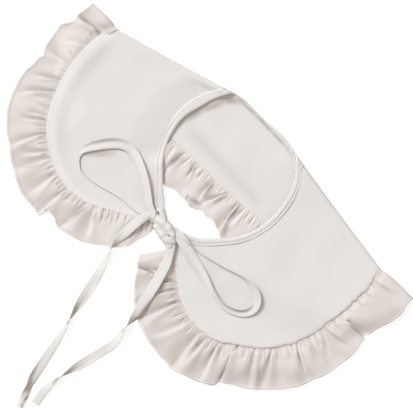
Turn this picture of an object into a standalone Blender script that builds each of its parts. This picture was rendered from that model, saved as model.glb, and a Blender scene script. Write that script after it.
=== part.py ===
"""Ruffled collar, laid flat with its front up and its ties in a bow.

The body is one cloth piece that folds over at both shoulders, so its two
fronts lie on its back. A gathered ruffle goes round the hem, a binding goes
round the neck, and the binding's two ends are the ties of the bow.

+X runs across the collar, +Y points to the back of the neck, +Z is up, and
the collar lies on Z = 0. Tables are in millimetres, in the collar's plan.
A station runs along the collar: 0 to 1 is the left front from its front end
to the shoulder, 1 to 2 the left fold, 2 to 3 the back, 3 to 4 the right fold
and 4 to 5 the right front. A line runs across it: 0 is the neck edge, 1 the
outer edge of the binding, 2 the hem seam and 3 the ruffle's outer edge.
"""
import math
from collections import namedtuple

import bmesh
import bpy
from mathutils import Vector

COLLECTION = "ruffled_collar"
MM = 0.001
CENTRE = Vector((-3.35, -155.8, 0.0))
UP = Vector((0.0, 0.0, 1.0))

# Cloth walls, bands and gaps
BODY_WALL = 1.4
RUFFLE_WALL = 1.0
BINDING_WALL = 2.4
TIE_WALL = 1.2
TIE_WIDTH = 9.0
TIE_CLEAR = 0.06
SEAM_GAP = 0.4
FOLD_GAP = 1.0
WAVE_PITCH = 6.5

# How high the fronts lie over the back, and how they drape past its hem
FRONT_LIFT = 5.0
DRAPE_MARGIN = 3.0
DRAPE_RUN = 28.0

# A shoulder fold is round, and flatter where it runs out at the neck
NECK_FOLD_REACH = 0.35

# The ruffle's waves, counted along the whole hem from the left front end
WAVES = {"left": 28, "left_fold": 1, "back": 30, "right_fold": 1, "right": 30}
JOIN_WAVES = 3
WAVE_AT_SEAM = 1.1
WAVE_AT_EDGE = 4.4
HIDDEN_WAVE = 2.3
HOLE_HALF_WIDTH = 46.0
HOLE_FADE = 16.0
END_WAVES = 1.6

# Cells of the cloth grids
BODY_CELLS = {"left": 24, "left_fold": 5, "back": 16, "right_fold": 5, "right": 24}
BODY_LINES = 10
BINDING_LINES = 2
WAVE_CELLS = 5
RUFFLE_LINES = 4
TIE_CELLS = 3
TIE_LINES = 2
KNOT_SIDES = 12

NECK, BAND, SEAM = 0, 1, 2
Section = namedtuple("Section", "neck band seam edge")
LEFT_FRONT = [
    Section(neck=(-24.0, -102.0), band=(-29.1, -106.8), seam=(-23.0, -117.0), edge=(-19.0, -126.0)),
    Section(neck=(-31.0, -94.5), band=(-35.8, -99.5), seam=(-47.0, -130.5), edge=(-31.0, -158.0)),
    Section(neck=(-38.0, -88.5), band=(-42.8, -93.6), seam=(-70.0, -142.5), edge=(-53.0, -174.5)),
    Section(neck=(-45.0, -81.5), band=(-50.0, -86.4), seam=(-92.0, -151.8), edge=(-84.0, -185.6)),
    Section(neck=(-52.4, -73.7), band=(-57.6, -78.4), seam=(-114.0, -152.5), edge=(-114.5, -189.5)),
    Section(neck=(-58.5, -66.5), band=(-64.2, -70.6), seam=(-136.5, -144.7), edge=(-147.2, -181.8)),
    Section(neck=(-63.5, -58.5), band=(-69.7, -61.8), seam=(-156.0, -131.5), edge=(-179.0, -161.8)),
    Section(neck=(-68.5, -47.5), band=(-75.1, -49.8), seam=(-172.0, -114.5), edge=(-206.0, -136.5)),
    Section(neck=(-72.0, -33.5), band=(-78.9, -34.8), seam=(-182.6, -92.0), edge=(-219.0, -103.0)),
    Section(neck=(-73.7, -19.0), band=(-80.7, -19.0), seam=(-189.5, -68.0), edge=(-219.5, -73.0)),
    Section(neck=(-71.8, -4.0), band=(-78.6, -2.3), seam=(-191.4, -45.0), edge=(-225.5, -46.0)),
    Section(neck=(-66.5, 10.5), band=(-72.7, 13.8), seam=(-188.0, -24.0), edge=(-218.5, -24.0)),
    Section(neck=(-56.0, 26.0), band=(-65.2, 23.5), seam=(-178.5, -6.8), edge=(-217.0, -3.6)),
]
BACK = [
    Section(neck=(-48.5, 31.0), band=(-65.2, 23.5), seam=(-178.5, -6.8), edge=(-217.0, -3.6)),
    Section(neck=(-44.0, 32.4), band=(-56.0, 24.6), seam=(-163.0, -24.0), edge=(-192.0, -45.0)),
    Section(neck=(-36.0, 32.8), band=(-41.5, 25.8), seam=(-130.0, -38.0), edge=(-146.0, -73.0)),
    Section(neck=(-24.5, 31.2), band=(-26.0, 24.4), seam=(-92.0, -44.5), edge=(-98.0, -82.0)),
    Section(neck=(-12.0, 29.8), band=(-12.0, 22.8), seam=(-48.0, -46.0), edge=(-50.0, -84.0)),
    Section(neck=(1.0, 30.2), band=(1.0, 23.2), seam=(0.0, -46.5), edge=(0.0, -80.0)),
    Section(neck=(11.0, 31.0), band=(11.6, 24.0), seam=(48.0, -46.5), edge=(48.0, -85.0)),
    Section(neck=(18.5, 30.2), band=(20.0, 23.4), seam=(92.0, -44.5), edge=(96.0, -83.0)),
    Section(neck=(25.0, 28.6), band=(28.5, 22.3), seam=(130.0, -36.0), edge=(143.0, -72.0)),
    Section(neck=(29.5, 27.0), band=(39.0, 20.0), seam=(160.0, -21.0), edge=(190.0, -46.0)),
    Section(neck=(33.0, 25.2), band=(47.9, 18.0), seam=(174.5, -3.2), edge=(216.5, -3.4)),
]
RIGHT_FRONT = [
    Section(neck=(39.0, 19.5), band=(47.9, 18.0), seam=(174.5, -3.2), edge=(216.5, -3.4)),
    Section(neck=(50.5, 8.0), band=(56.4, 11.7), seam=(177.4, -24.6), edge=(218.5, -25.0)),
    Section(neck=(57.0, -9.3), band=(63.8, -7.6), seam=(176.3, -48.0), edge=(210.5, -50.0)),
    Section(neck=(59.3, -27.5), band=(66.3, -27.2), seam=(173.4, -71.8), edge=(211.5, -76.0)),
    Section(neck=(58.6, -42.5), band=(65.5, -43.7), seam=(168.0, -96.0), edge=(207.5, -105.7)),
    Section(neck=(54.0, -59.0), band=(60.5, -61.5), seam=(156.7, -120.0), edge=(194.2, -138.5)),
    Section(neck=(48.0, -70.5), band=(53.9, -74.2), seam=(140.0, -138.5), edge=(168.0, -167.8)),
    Section(neck=(41.5, -79.0), band=(46.8, -83.5), seam=(119.0, -153.5), edge=(138.0, -190.0)),
    Section(neck=(34.5, -86.5), band=(39.6, -91.3), seam=(96.0, -165.0), edge=(107.0, -208.8)),
    Section(neck=(27.5, -93.8), band=(32.1, -99.1), seam=(72.0, -165.3), edge=(71.0, -211.6)),
    Section(neck=(18.0, -101.0), band=(21.3, -107.2), seam=(50.0, -157.5), edge=(36.0, -203.0)),
    Section(neck=(6.5, -105.0), band=(8.2, -111.8), seam=(30.0, -143.0), edge=(9.0, -182.5)),
    Section(neck=(-5.0, -106.6), band=(-4.0, -113.5), seam=(8.0, -124.5), edge=(-11.6, -151.7)),
]
FOLD_OUTWARD = {"left": Vector((0.22, 0.975)), "right": Vector((0.16, 0.987))}

Puff = namedtuple("Puff", "x y height radius")
PUFFS = [
    Puff(x=-60.0, y=20.0, height=4.5, radius=34.0),
    Puff(x=-72.0, y=-30.0, height=1.6, radius=26.0),
    Puff(x=46.0, y=12.0, height=2.2, radius=30.0),
    Puff(x=61.0, y=-45.0, height=1.6, radius=26.0),
]

# The deepest folds: extra height, and how far each draws the outer edge in
BigFold = namedtuple("BigFold", "wave height pull")
BIG_FOLDS = [
    BigFold(wave=5.5, height=2.6, pull=-1.5),
    BigFold(wave=8.5, height=1.0, pull=5.0),
    BigFold(wave=12.5, height=1.6, pull=0.0),
    BigFold(wave=21.5, height=1.2, pull=3.0),
    BigFold(wave=25.5, height=2.4, pull=4.5),
    BigFold(wave=64.5, height=2.6, pull=3.5),
    BigFold(wave=71.5, height=1.6, pull=0.0),
    BigFold(wave=76.5, height=1.4, pull=3.5),
    BigFold(wave=81.5, height=3.0, pull=-2.0),
    BigFold(wave=88.5, height=2.0, pull=0.0),
]
BIG_FOLD_SPREAD = 0.55

# Routes of the ties; low is the height of their lower side over the front's
# underside, or over the floor past the front, and roll turns the strap
TiePoint = namedtuple("TiePoint", "x y low roll")
LOOP_LEFT = [
    TiePoint(x=-29.9, y=-108.6, low=3.4, roll=25),
    TiePoint(x=-41.0, y=-99.5, low=3.3, roll=12),
    TiePoint(x=-54.0, y=-91.2, low=2.0, roll=0),
    TiePoint(x=-66.5, y=-84.6, low=2.0, roll=0),
    TiePoint(x=-79.0, y=-80.8, low=2.0, roll=5),
    TiePoint(x=-90.0, y=-81.2, low=2.0, roll=8),
    TiePoint(x=-101.5, y=-85.6, low=2.0, roll=5),
    TiePoint(x=-110.8, y=-94.2, low=2.0, roll=0),
    TiePoint(x=-118.2, y=-104.2, low=2.0, roll=0),
    TiePoint(x=-122.6, y=-114.6, low=2.0, roll=25),
    TiePoint(x=-119.6, y=-124.2, low=2.0, roll=60),
    TiePoint(x=-109.0, y=-129.0, low=2.0, roll=82),
    TiePoint(x=-92.0, y=-132.6, low=2.0, roll=86),
    TiePoint(x=-74.0, y=-133.2, low=2.0, roll=86),
    TiePoint(x=-58.0, y=-128.2, low=1.9, roll=80),
    TiePoint(x=-45.0, y=-121.2, low=2.4, roll=62),
    TiePoint(x=-30.2, y=-114.4, low=2.6, roll=55),
]
LOOP_RIGHT = [
    TiePoint(x=8.2, y=-116.2, low=3.4, roll=15),
    TiePoint(x=23.0, y=-118.0, low=2.2, roll=5),
    TiePoint(x=37.0, y=-119.8, low=2.0, roll=0),
    TiePoint(x=51.0, y=-122.8, low=2.0, roll=12),
    TiePoint(x=64.5, y=-127.4, low=2.0, roll=40),
    TiePoint(x=78.5, y=-130.8, low=2.0, roll=68),
    TiePoint(x=92.0, y=-130.8, low=2.0, roll=72),
    TiePoint(x=103.5, y=-125.8, low=2.0, roll=52),
    TiePoint(x=109.8, y=-116.2, low=2.2, roll=18),
    TiePoint(x=108.6, y=-105.4, low=2.5, roll=0),
    TiePoint(x=101.0, y=-97.8, low=2.3, roll=0),
    TiePoint(x=88.0, y=-95.2, low=2.0, roll=28),
    TiePoint(x=72.0, y=-97.4, low=2.0, roll=58),
    TiePoint(x=54.0, y=-101.6, low=2.0, roll=66),
    TiePoint(x=36.0, y=-105.2, low=2.9, roll=72),
    TiePoint(x=21.0, y=-107.4, low=2.9, roll=76),
    TiePoint(x=6.6, y=-110.4, low=3.2, roll=76),
]
TAIL_LEFT = [
    TiePoint(x=-27.2, y=-119.9, low=3.8, roll=25),
    TiePoint(x=-33.2, y=-132.0, low=6.2, roll=45),
    TiePoint(x=-35.0, y=-145.0, low=6.2, roll=55),
    TiePoint(x=-37.4, y=-158.0, low=5.6, roll=75),
    TiePoint(x=-37.6, y=-168.0, low=3.6, roll=80),
    TiePoint(x=-34.6, y=-179.0, low=0.6, roll=55),
    TiePoint(x=-31.8, y=-192.0, low=0.0, roll=15),
    TiePoint(x=-29.2, y=-204.5, low=0.0, roll=0),
    TiePoint(x=-26.6, y=-218.0, low=0.0, roll=0),
    TiePoint(x=-23.6, y=-232.0, low=0.0, roll=50),
    TiePoint(x=-20.0, y=-245.0, low=0.0, roll=120),
    TiePoint(x=-17.0, y=-257.0, low=0.0, roll=165),
    TiePoint(x=-14.0, y=-270.0, low=0.0, roll=180),
    TiePoint(x=-11.5, y=-284.0, low=0.0, roll=180),
    TiePoint(x=-8.6, y=-298.0, low=0.0, roll=200),
    TiePoint(x=-5.4, y=-311.5, low=0.0, roll=235),
    TiePoint(x=-1.8, y=-324.0, low=0.0, roll=255),
    TiePoint(x=1.6, y=-334.0, low=0.0, roll=250),
    TiePoint(x=5.1, y=-343.4, low=0.0, roll=235),
]
TAIL_RIGHT = [
    TiePoint(x=3.2, y=-126.7, low=4.0, roll=10),
    TiePoint(x=9.4, y=-135.5, low=5.6, roll=5),
    TiePoint(x=13.4, y=-146.0, low=6.0, roll=0),
    TiePoint(x=17.4, y=-159.0, low=6.4, roll=0),
    TiePoint(x=21.0, y=-171.5, low=6.6, roll=0),
    TiePoint(x=24.4, y=-184.5, low=6.6, roll=5),
    TiePoint(x=26.4, y=-198.0, low=6.2, roll=35),
    TiePoint(x=28.0, y=-211.0, low=2.6, roll=70),
    TiePoint(x=30.4, y=-224.5, low=0.2, roll=95),
    TiePoint(x=30.4, y=-236.0, low=0.0, roll=135),
    TiePoint(x=27.2, y=-249.0, low=0.0, roll=175),
    TiePoint(x=23.0, y=-262.0, low=0.0, roll=180),
    TiePoint(x=18.4, y=-275.0, low=0.0, roll=185),
    TiePoint(x=14.0, y=-288.0, low=0.0, roll=225),
    TiePoint(x=11.8, y=-300.0, low=0.0, roll=270),
    TiePoint(x=11.8, y=-312.0, low=0.0, roll=315),
    TiePoint(x=12.4, y=-322.0, low=0.0, roll=350),
    TiePoint(x=13.4, y=-334.0, low=0.0, roll=360),
]

# The knot, as rings along it from its left end; it lies on both front ends
KnotRing = namedtuple("KnotRing", "x y half_width top")
KNOT_BOTTOM = 1.8
KNOT_RINGS = [
    KnotRing(x=-28.0, y=-111.4, half_width=4.2, top=7.0),
    KnotRing(x=-25.0, y=-112.4, half_width=6.6, top=9.0),
    KnotRing(x=-20.0, y=-114.0, half_width=7.6, top=10.2),
    KnotRing(x=-14.0, y=-116.0, half_width=6.4, top=9.4),
    KnotRing(x=-8.0, y=-118.0, half_width=7.2, top=10.0),
    KnotRing(x=-2.0, y=-119.6, half_width=7.4, top=10.2),
    KnotRing(x=3.0, y=-120.8, half_width=6.0, top=8.8),
    KnotRing(x=6.4, y=-121.4, half_width=3.6, top=6.6),
]

Finish = namedtuple("Finish", "colour roughness")
BODY_CLOTH = Finish(colour=(0.80, 0.77, 0.73), roughness=0.78)
RUFFLE_CLOTH = Finish(colour=(0.79, 0.74, 0.70), roughness=0.82)
TIE_CLOTH = Finish(colour=(0.82, 0.79, 0.75), roughness=0.74)


def clamp(value, low=0.0, high=1.0):
    return max(low, min(high, value))


def ease(share):
    """Smooth step from 0 to 1."""
    share = clamp(share)
    return share * share * (3.0 - 2.0 * share)


def smooth(rows, place):
    """Values on a smooth curve through all rows, at a place counted in rows."""
    last = len(rows) - 1
    place = clamp(place, 0.0, float(last))
    row = min(int(place), last - 1)
    t = place - row
    p1, p2 = rows[row], rows[row + 1]
    p0 = rows[row - 1] if row > 0 else [2 * a - b for a, b in zip(p1, p2)]
    p3 = rows[row + 2] if row + 2 <= last else [2 * b - a for a, b in zip(p1, p2)]
    return [
        b + 0.5 * t * (c - a + t * (2 * a - 5 * b + 4 * c - d + t * (3 * (b - c) + d - a)))
        for a, b, c, d in zip(p0, p1, p2, p3)
    ]


def panel_plan(panel, share, line):
    """Plan point of a panel, at a share of its length and at a line across it."""
    inner = min(int(line), SEAM)
    place = share * (len(panel) - 1)
    start = Vector(smooth([row[inner] for row in panel], place))
    end = Vector(smooth([row[inner + 1] for row in panel], place))
    return start.lerp(end, line - inner)


def back_hem(x):
    """Plan Y of the outer edge of the back's ruffle at x."""
    edge = [row.edge for row in BACK]
    for (x0, y0), (x1, y1) in zip(edge, edge[1:]):
        if x0 <= x <= x1:
            return y0 + (y1 - y0) * (x - x0) / (x1 - x0)
    return edge[0][1]


def front_lift(x, y):
    """Height of a front's underside: on the back first, then draped to the floor."""
    foot = back_hem(x) - DRAPE_MARGIN - DRAPE_RUN
    puff = sum(
        p.height * math.exp(-((x - p.x) ** 2 + (y - p.y) ** 2) / (2 * p.radius ** 2))
        for p in PUFFS
    )
    return ease((y - foot) / DRAPE_RUN) * (FRONT_LIFT + puff)


def cloth(station, line):
    """Point on the cloth's underside, and the way in which its waves rise."""
    if station <= 1.0 or station >= 4.0:
        panel, share = (LEFT_FRONT, station) if station <= 1.0 else (RIGHT_FRONT, station - 4.0)
        plan = panel_plan(panel, share, line)
        return Vector((plan.x, plan.y, front_lift(plan.x, plan.y))), UP
    if 2.0 <= station <= 3.0:
        plan = panel_plan(BACK, station - 2.0, line)
        return Vector((plan.x, plan.y, 0.0)), UP
    if station < 2.0:
        upper, lower = panel_plan(LEFT_FRONT, 1.0, line), panel_plan(BACK, 0.0, line)
        outward = FOLD_OUTWARD["left"]
    else:
        upper, lower = panel_plan(RIGHT_FRONT, 0.0, line), panel_plan(BACK, 1.0, line)
        outward = FOLD_OUTWARD["right"]
    turn = math.pi * fold_turn(station)
    axis = upper.lerp(lower, 0.5 - 0.5 * math.cos(turn))
    radius = front_lift(upper.x, upper.y) / 2.0
    reach = radius * (NECK_FOLD_REACH + (1.0 - NECK_FOLD_REACH) * ease(line))
    plan = axis + outward * (reach * math.sin(turn))
    rise = Vector((*(outward * math.sin(turn)), math.cos(turn)))
    return Vector((plan.x, plan.y, radius * (1.0 + math.cos(turn)))), rise


def fold_turn(station):
    """How far round a shoulder fold a station is, from 0 on the front to 1 on the back."""
    return station - 1.0 if station < 2.0 else 4.0 - station


def on_fold(station):
    return 1.0 < station < 2.0 or 3.0 < station < 4.0


def seam_gap(station):
    """Gap between two cloth pieces at a seam, wider where the cloth folds over."""
    from_fold = min(abs(station - 1.5), abs(station - 3.5))
    return SEAM_GAP + (FOLD_GAP - SEAM_GAP) * ease((0.8 - from_fold) / 0.3)


def finished(piece, finish):
    """Give a piece its cloth material and link it into the collar's collection."""
    material = bpy.data.materials.new(piece.name)
    material.use_nodes = True
    shader = material.node_tree.nodes["Principled BSDF"]
    shader.inputs["Base Color"].default_value = (*finish.colour, 1.0)
    shader.inputs["Roughness"].default_value = finish.roughness
    shader.inputs["Metallic"].default_value = 0.0
    piece.data.materials.append(material)
    piece.data.shade_smooth()
    bpy.data.collections[COLLECTION].objects.link(piece)


def bent_grid(along, across, point):
    """Flat grid of cells, each vertex moved to point(share along, share across)."""
    grid = bmesh.new()
    bmesh.ops.create_grid(grid, x_segments=along, y_segments=across, size=1.0)
    for vertex in grid.verts:
        share, line = (vertex.co.x + 1.0) / 2.0, (vertex.co.y + 1.0) / 2.0
        vertex.co = (point(share, line) - CENTRE) * MM
    return grid


def new_piece(name, grid):
    mesh = bpy.data.meshes.new(name)
    grid.to_mesh(mesh)
    grid.free()
    return bpy.data.objects.new(name, mesh)


def sheet(name, along, across, point, wall, finish):
    """Cloth wall whose middle is a bent grid."""
    piece = new_piece(name, bent_grid(along, across, point))
    thicken = piece.modifiers.new("Wall", "SOLIDIFY")
    thicken.thickness = wall * MM
    thicken.offset = 0.0
    finished(piece, finish)


def body_stations():
    """Stations of the body's columns, closer together on the shoulder folds."""
    stations = [
        part + cell / count
        for part, count in enumerate(BODY_CELLS.values())
        for cell in range(count)
    ]
    return stations + [float(len(BODY_CELLS))]


def collar_body():
    """Both fronts and the back in one wall, from the binding to the hem seam."""
    stations = body_stations()

    def point(share, across):
        station = stations[round(share * (len(stations) - 1))]
        neck, _ = cloth(station, NECK)
        band, _ = cloth(station, BAND)
        place, _ = cloth(station, BAND + (SEAM - BAND) * across)
        clear = Vector((band.x - neck.x, band.y - neck.y, 0.0)).normalized()
        clear *= seam_gap(station) * (1.0 - across)
        return place + clear + UP * (BODY_WALL / 2.0)

    sheet("collar_body", len(stations) - 1, BODY_LINES, point, BODY_WALL, BODY_CLOTH)


def neck_binding():
    """Folded band round the neck edge, thicker than the body that it binds."""
    stations = body_stations()

    def point(share, across):
        station = stations[round(share * (len(stations) - 1))]
        place, _ = cloth(station, NECK + (BAND - NECK) * across)
        return place + UP * (BINDING_WALL / 2.0)

    sheet("neck_binding", len(stations) - 1, BINDING_LINES, point, BINDING_WALL, TIE_CLOTH)


def wave_station(waves):
    """Station at a number of waves from the left front end, unevenly spaced."""
    start = 0.0
    for part, count in enumerate(WAVES.values()):
        if waves <= start + count or part == len(WAVES) - 1:
            break
        start += count
    local = waves - start
    room = clamp(min(local, count - local) / 2.0)
    drift = 0.30 * math.sin(1.7 * waves + 0.6) + 0.18 * math.sin(2.9 * waves)
    return part + (local + room * drift) / count


def ruffle_point(waves, across):
    """Middle of the ruffle's wall, across it from 0 at the seam to 1 at the edge."""
    station = wave_station(waves)
    root, _ = cloth(station, SEAM)
    hem, _ = cloth(station, SEAM + 1.0)
    start = SEAM + seam_gap(station) / (hem - root).length
    place, rise = cloth(station, start + (SEAM + 1.0 - start) * across)
    height = WAVE_AT_SEAM + (WAVE_AT_EDGE - WAVE_AT_SEAM) * across ** 0.7
    pull = 0.0
    if 2.0 <= station <= 3.0:
        shown = ease((HOLE_HALF_WIDTH - abs(place.x)) / HOLE_FADE)
        height = min(height, HIDDEN_WAVE) * (1.0 - shown) + height * shown
    for fold in BIG_FOLDS:
        near = math.exp(-((waves - fold.wave) / BIG_FOLD_SPREAD) ** 2)
        height += near * fold.height * across
        pull += near * fold.pull * across ** 2
    if on_fold(station):
        height *= 0.5 + 0.5 * math.cos(math.pi * fold_turn(station))
    crest = 0.5 - 0.5 * math.cos(2.0 * math.pi * waves)
    uneven = 0.82 + 0.18 * math.sin(1.3 * waves + 1.0)
    ends = clamp(min(waves, sum(WAVES.values()) - waves) / END_WAVES)
    inward = Vector((root.x - place.x, root.y - place.y, 0.0)).normalized()
    rise = rise * (crest * uneven * ends * height)
    return place + inward * pull + rise + UP * (RUFFLE_WALL / 2.0)


def ruffles():
    """Three lengths of ruffle, which meet under the fronts past the shoulder folds."""
    gap = SEAM_GAP / WAVE_PITCH
    left_join = WAVES["left"] + WAVES["left_fold"] + JOIN_WAVES
    right_join = sum(WAVES.values()) - WAVES["right"] - WAVES["right_fold"] - JOIN_WAVES
    lengths = {
        "ruffle_left": (0.0, left_join - gap),
        "ruffle_back": (left_join, right_join),
        "ruffle_right": (right_join + gap, sum(WAVES.values())),
    }
    for name, (first, last) in lengths.items():
        columns = round(last - first) * WAVE_CELLS

        def point(share, across):
            return ruffle_point(first + share * (last - first), across)

        sheet(name, columns, RUFFLE_LINES, point, RUFFLE_WALL, RUFFLE_CLOTH)


def tie(name, route):
    """Flat strap along a route, turned about its middle by each row's roll."""
    last = len(route) - 1

    def point(share, across):
        row = share * last
        x, y, low, roll = smooth(route, row)
        ahead, behind = smooth(route, row + 0.1), smooth(route, row - 0.1)
        heading = Vector((ahead[0] - behind[0], ahead[1] - behind[1], 0.0)).normalized()
        roll = math.radians(roll)
        width = UP.cross(heading) * math.cos(roll) + UP * math.sin(roll)
        half = abs(math.sin(roll)) * TIE_WIDTH / 2.0 + abs(math.cos(roll)) * TIE_WALL / 2.0
        place = Vector((x, y, low + half + TIE_CLEAR)) + width * (TIE_WIDTH * (across - 0.5))
        return place + UP * front_lift(place.x, place.y)

    sheet(name, last * TIE_CELLS, TIE_LINES, point, TIE_WALL, TIE_CLOTH)


def knot():
    """Closed lump of wrapped cloth, lofted through its rings."""
    first, last = KNOT_RINGS[0], KNOT_RINGS[-1]
    axis = Vector((last.x - first.x, last.y - first.y, 0.0)).normalized()
    side = UP.cross(axis)

    def point(share, around):
        x, y, half_width, top = smooth(KNOT_RINGS, share * (len(KNOT_RINGS) - 1))
        angle = 2.0 * math.pi * around
        half_height = (top - KNOT_BOTTOM) / 2.0
        middle = Vector((x, y, KNOT_BOTTOM + half_height))
        return middle + side * (half_width * math.cos(angle)) + UP * (half_height * math.sin(angle))

    grid = bent_grid(2 * (len(KNOT_RINGS) - 1), KNOT_SIDES, point)
    bmesh.ops.remove_doubles(grid, verts=grid.verts, dist=0.00001)
    bmesh.ops.holes_fill(grid, edges=grid.edges)
    bmesh.ops.recalc_face_normals(grid, faces=grid.faces)
    finished(new_piece("knot", grid), TIE_CLOTH)


def main():
    for old in list(bpy.data.objects):
        bpy.data.objects.remove(old)
    bpy.context.scene.collection.children.link(bpy.data.collections.new(COLLECTION))
    collar_body()
    neck_binding()
    ruffles()
    tie("loop_left", LOOP_LEFT)
    tie("loop_right", LOOP_RIGHT)
    tie("tail_left", TAIL_LEFT)
    tie("tail_right", TAIL_RIGHT)
    knot()


main()
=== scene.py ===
"""Looks of the ruffled collar: thin cloth, gathers, hems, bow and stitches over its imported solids.

Tables are in millimetres in the collar's plan, with +X across it, +Y to the back of the neck and
Z = 0 on the surface that it lies on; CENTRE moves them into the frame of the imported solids. A
table's px and py, or start and end, are pixels of the photo, which on_plan puts into the plan.
A station runs along the collar: 0 to 1 is the left front from its front end to the shoulder,
1 to 2 the left fold, 2 to 3 the back, 3 to 4 the right fold and 4 to 5 the right front.
A line runs across it: 0 is the neck edge, 1 the binding's outer edge, 2 the hem seam and
3 the ruffle's outer edge. A mark is a length along the hem seam from the left front's end.
"""

import math
from bisect import bisect_right
from collections import namedtuple
from functools import lru_cache

import bmesh
import bpy
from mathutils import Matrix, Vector, noise


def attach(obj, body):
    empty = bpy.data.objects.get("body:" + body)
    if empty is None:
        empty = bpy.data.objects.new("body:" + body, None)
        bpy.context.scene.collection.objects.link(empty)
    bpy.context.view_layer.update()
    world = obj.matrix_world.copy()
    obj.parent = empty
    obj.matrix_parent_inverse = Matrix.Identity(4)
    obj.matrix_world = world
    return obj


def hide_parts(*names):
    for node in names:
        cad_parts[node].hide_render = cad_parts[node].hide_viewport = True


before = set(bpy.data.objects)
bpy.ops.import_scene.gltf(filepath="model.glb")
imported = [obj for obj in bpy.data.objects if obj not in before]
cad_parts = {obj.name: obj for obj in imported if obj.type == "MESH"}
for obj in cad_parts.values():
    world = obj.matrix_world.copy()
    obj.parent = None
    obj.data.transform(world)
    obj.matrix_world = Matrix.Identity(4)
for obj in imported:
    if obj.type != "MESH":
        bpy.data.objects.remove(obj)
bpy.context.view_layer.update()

MM = 0.001
CENTRE = Vector((-3.35, -155.8, 0.0))
UP = Vector((0.0, 0.0, 1.0))

# The camera, straight over the collar as in the photo, and its frame of 413 by 413 pixels
PHOTO_PIXELS = 413.0
PHOTO_SIDE = 411.8
PHOTO_TURN = math.radians(42.77)
VIEW_CENTRE = Vector((4.32, -70.93, 0.0))
LENS = 170.0
SENSOR = 36.0

# Cloth walls, as the solids have them, and as they show
BODY_WALL = 1.4
BINDING_WALL = 2.4
TIE_WALL = 1.2
TIE_THIN = 0.8
TIE_CLEAR = 0.06
VOILE = 0.45
HEM_EXTRA = 0.5

# How high the fronts lie over the back, and how they drape past its hem
FRONT_LIFT = 5.0
DRAPE_MARGIN = 3.0
DRAPE_RUN = 42.0
NECK_FOLD_REACH = 0.35
NECK_DROOP = 3.8
DROOP_START = 0.35
DROOP_RUN = 0.15
DROOP_END_RUN = 0.08

# Sections of the panels, each with the plan points of its neck edge, band, seam and outer edge
NECK, BAND, SEAM, EDGE = range(4)
LEFT_FRONT = [
    ((-24, -102), (-31, -108.2), (-23, -117), (-19, -126)),
    ((-31, -94.5), (-38.4, -101.8), (-47, -130.5), (-31, -158)),
    ((-38, -88.5), (-43.9, -94.9), (-70, -142.5), (-53, -174.5)),
    ((-45, -81.5), (-50, -86.4), (-92, -151.8), (-84, -185.6)),
    ((-52.4, -73.7), (-57.6, -78.4), (-114, -152.5), (-114.5, -189.5)),
    ((-58.5, -66.5), (-64.2, -70.6), (-136.5, -144.7), (-147.2, -181.8)),
    ((-63.5, -58.5), (-69.7, -61.8), (-156, -131.5), (-179, -161.8)),
    ((-68.5, -47.5), (-75.1, -49.8), (-172, -114.5), (-206, -136.5)),
    ((-72, -33.5), (-78.9, -34.8), (-182.6, -92), (-219, -103)),
    ((-72.4, -19), (-80.7, -19), (-189.5, -68), (-219.5, -73)),
    ((-68.4, -4.8), (-78.6, -2.3), (-191.4, -45), (-225.5, -46)),
    ((-63.6, 10.8), (-72.7, 13.8), (-190.2, -21.8), (-218.5, -24)),
    ((-55.4, 26.6), (-65.2, 23.5), (-185.4, -4.6), (-217, -3.6)),
]
BACK = [
    ((-48.5, 31), (-65.2, 23.5), (-178.5, -6.8), (-217, -3.6)),
    ((-44, 32.8), (-56, 25.2), (-163, -24), (-192, -45)),
    ((-36, 33.2), (-41.5, 27.4), (-130, -38), (-146, -73)),
    ((-24.5, 32.6), (-26, 26.8), (-92, -44.5), (-98, -82)),
    ((-12, 32), (-12, 26.2), (-48, -46), (-50, -84)),
    ((1, 32.4), (1, 26.6), (0, -46.5), (0, -80)),
    ((11, 32.6), (11.6, 26.8), (48, -46.5), (48, -85)),
    ((18.5, 31.8), (20, 26), (92, -44.5), (96, -83)),
    ((25, 30.4), (28.5, 24.8), (130, -36), (143, -72)),
    ((29.5, 29), (39, 22.6), (160, -21), (190, -46)),
    ((33, 27.6), (47.9, 20.6), (174.5, -2), (216.5, -2.6)),
]
RIGHT_FRONT = [
    ((39, 21.4), (47.9, 20.6), (174.5, -2), (216.5, -2.6)),
    ((50.5, 8), (56.4, 11.7), (177.4, -24.6), (218.5, -25)),
    ((57, -9.3), (63.8, -7.6), (176.3, -48), (210.5, -50)),
    ((59.3, -27.5), (66.3, -27.2), (173.4, -71.8), (211.5, -76)),
    ((58.6, -42.5), (65.5, -43.7), (168, -96), (207.5, -105.7)),
    ((54, -59), (60.5, -61.5), (156.7, -120), (194.2, -138.5)),
    ((48, -70.5), (53.9, -74.2), (140, -138.5), (168, -167.8)),
    ((41.5, -79), (46.8, -83.5), (119, -153.5), (138, -190)),
    ((34, -85.9), (39.6, -91.3), (96, -165), (107, -208.8)),
    ((27.1, -92.9), (32.1, -99.1), (72, -165.3), (71, -211.6)),
    ((17.6, -100.1), (21.3, -107.2), (50, -157.5), (36, -203)),
    ((6.5, -105), (8.2, -111.8), (30, -143), (9, -182.5)),
    ((-5, -106.6), (-4, -113.5), (8, -124.5), (-11.6, -151.7)),
]
PANELS = {"left": LEFT_FRONT, "back": BACK, "right": RIGHT_FRONT}
FOLD_OUTWARD = {"left": Vector((0.22, 0.975)), "right": Vector((0.16, 0.987))}

# Where the fronts puff up over the back
Puff = namedtuple("Puff", "x y height radius")
PUFFS = [Puff(-60, 20, 0.9, 34), Puff(-72, -30, 1.6, 26), Puff(46, 12, 2.2, 30), Puff(61, -45, 1.6, 26)]

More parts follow.
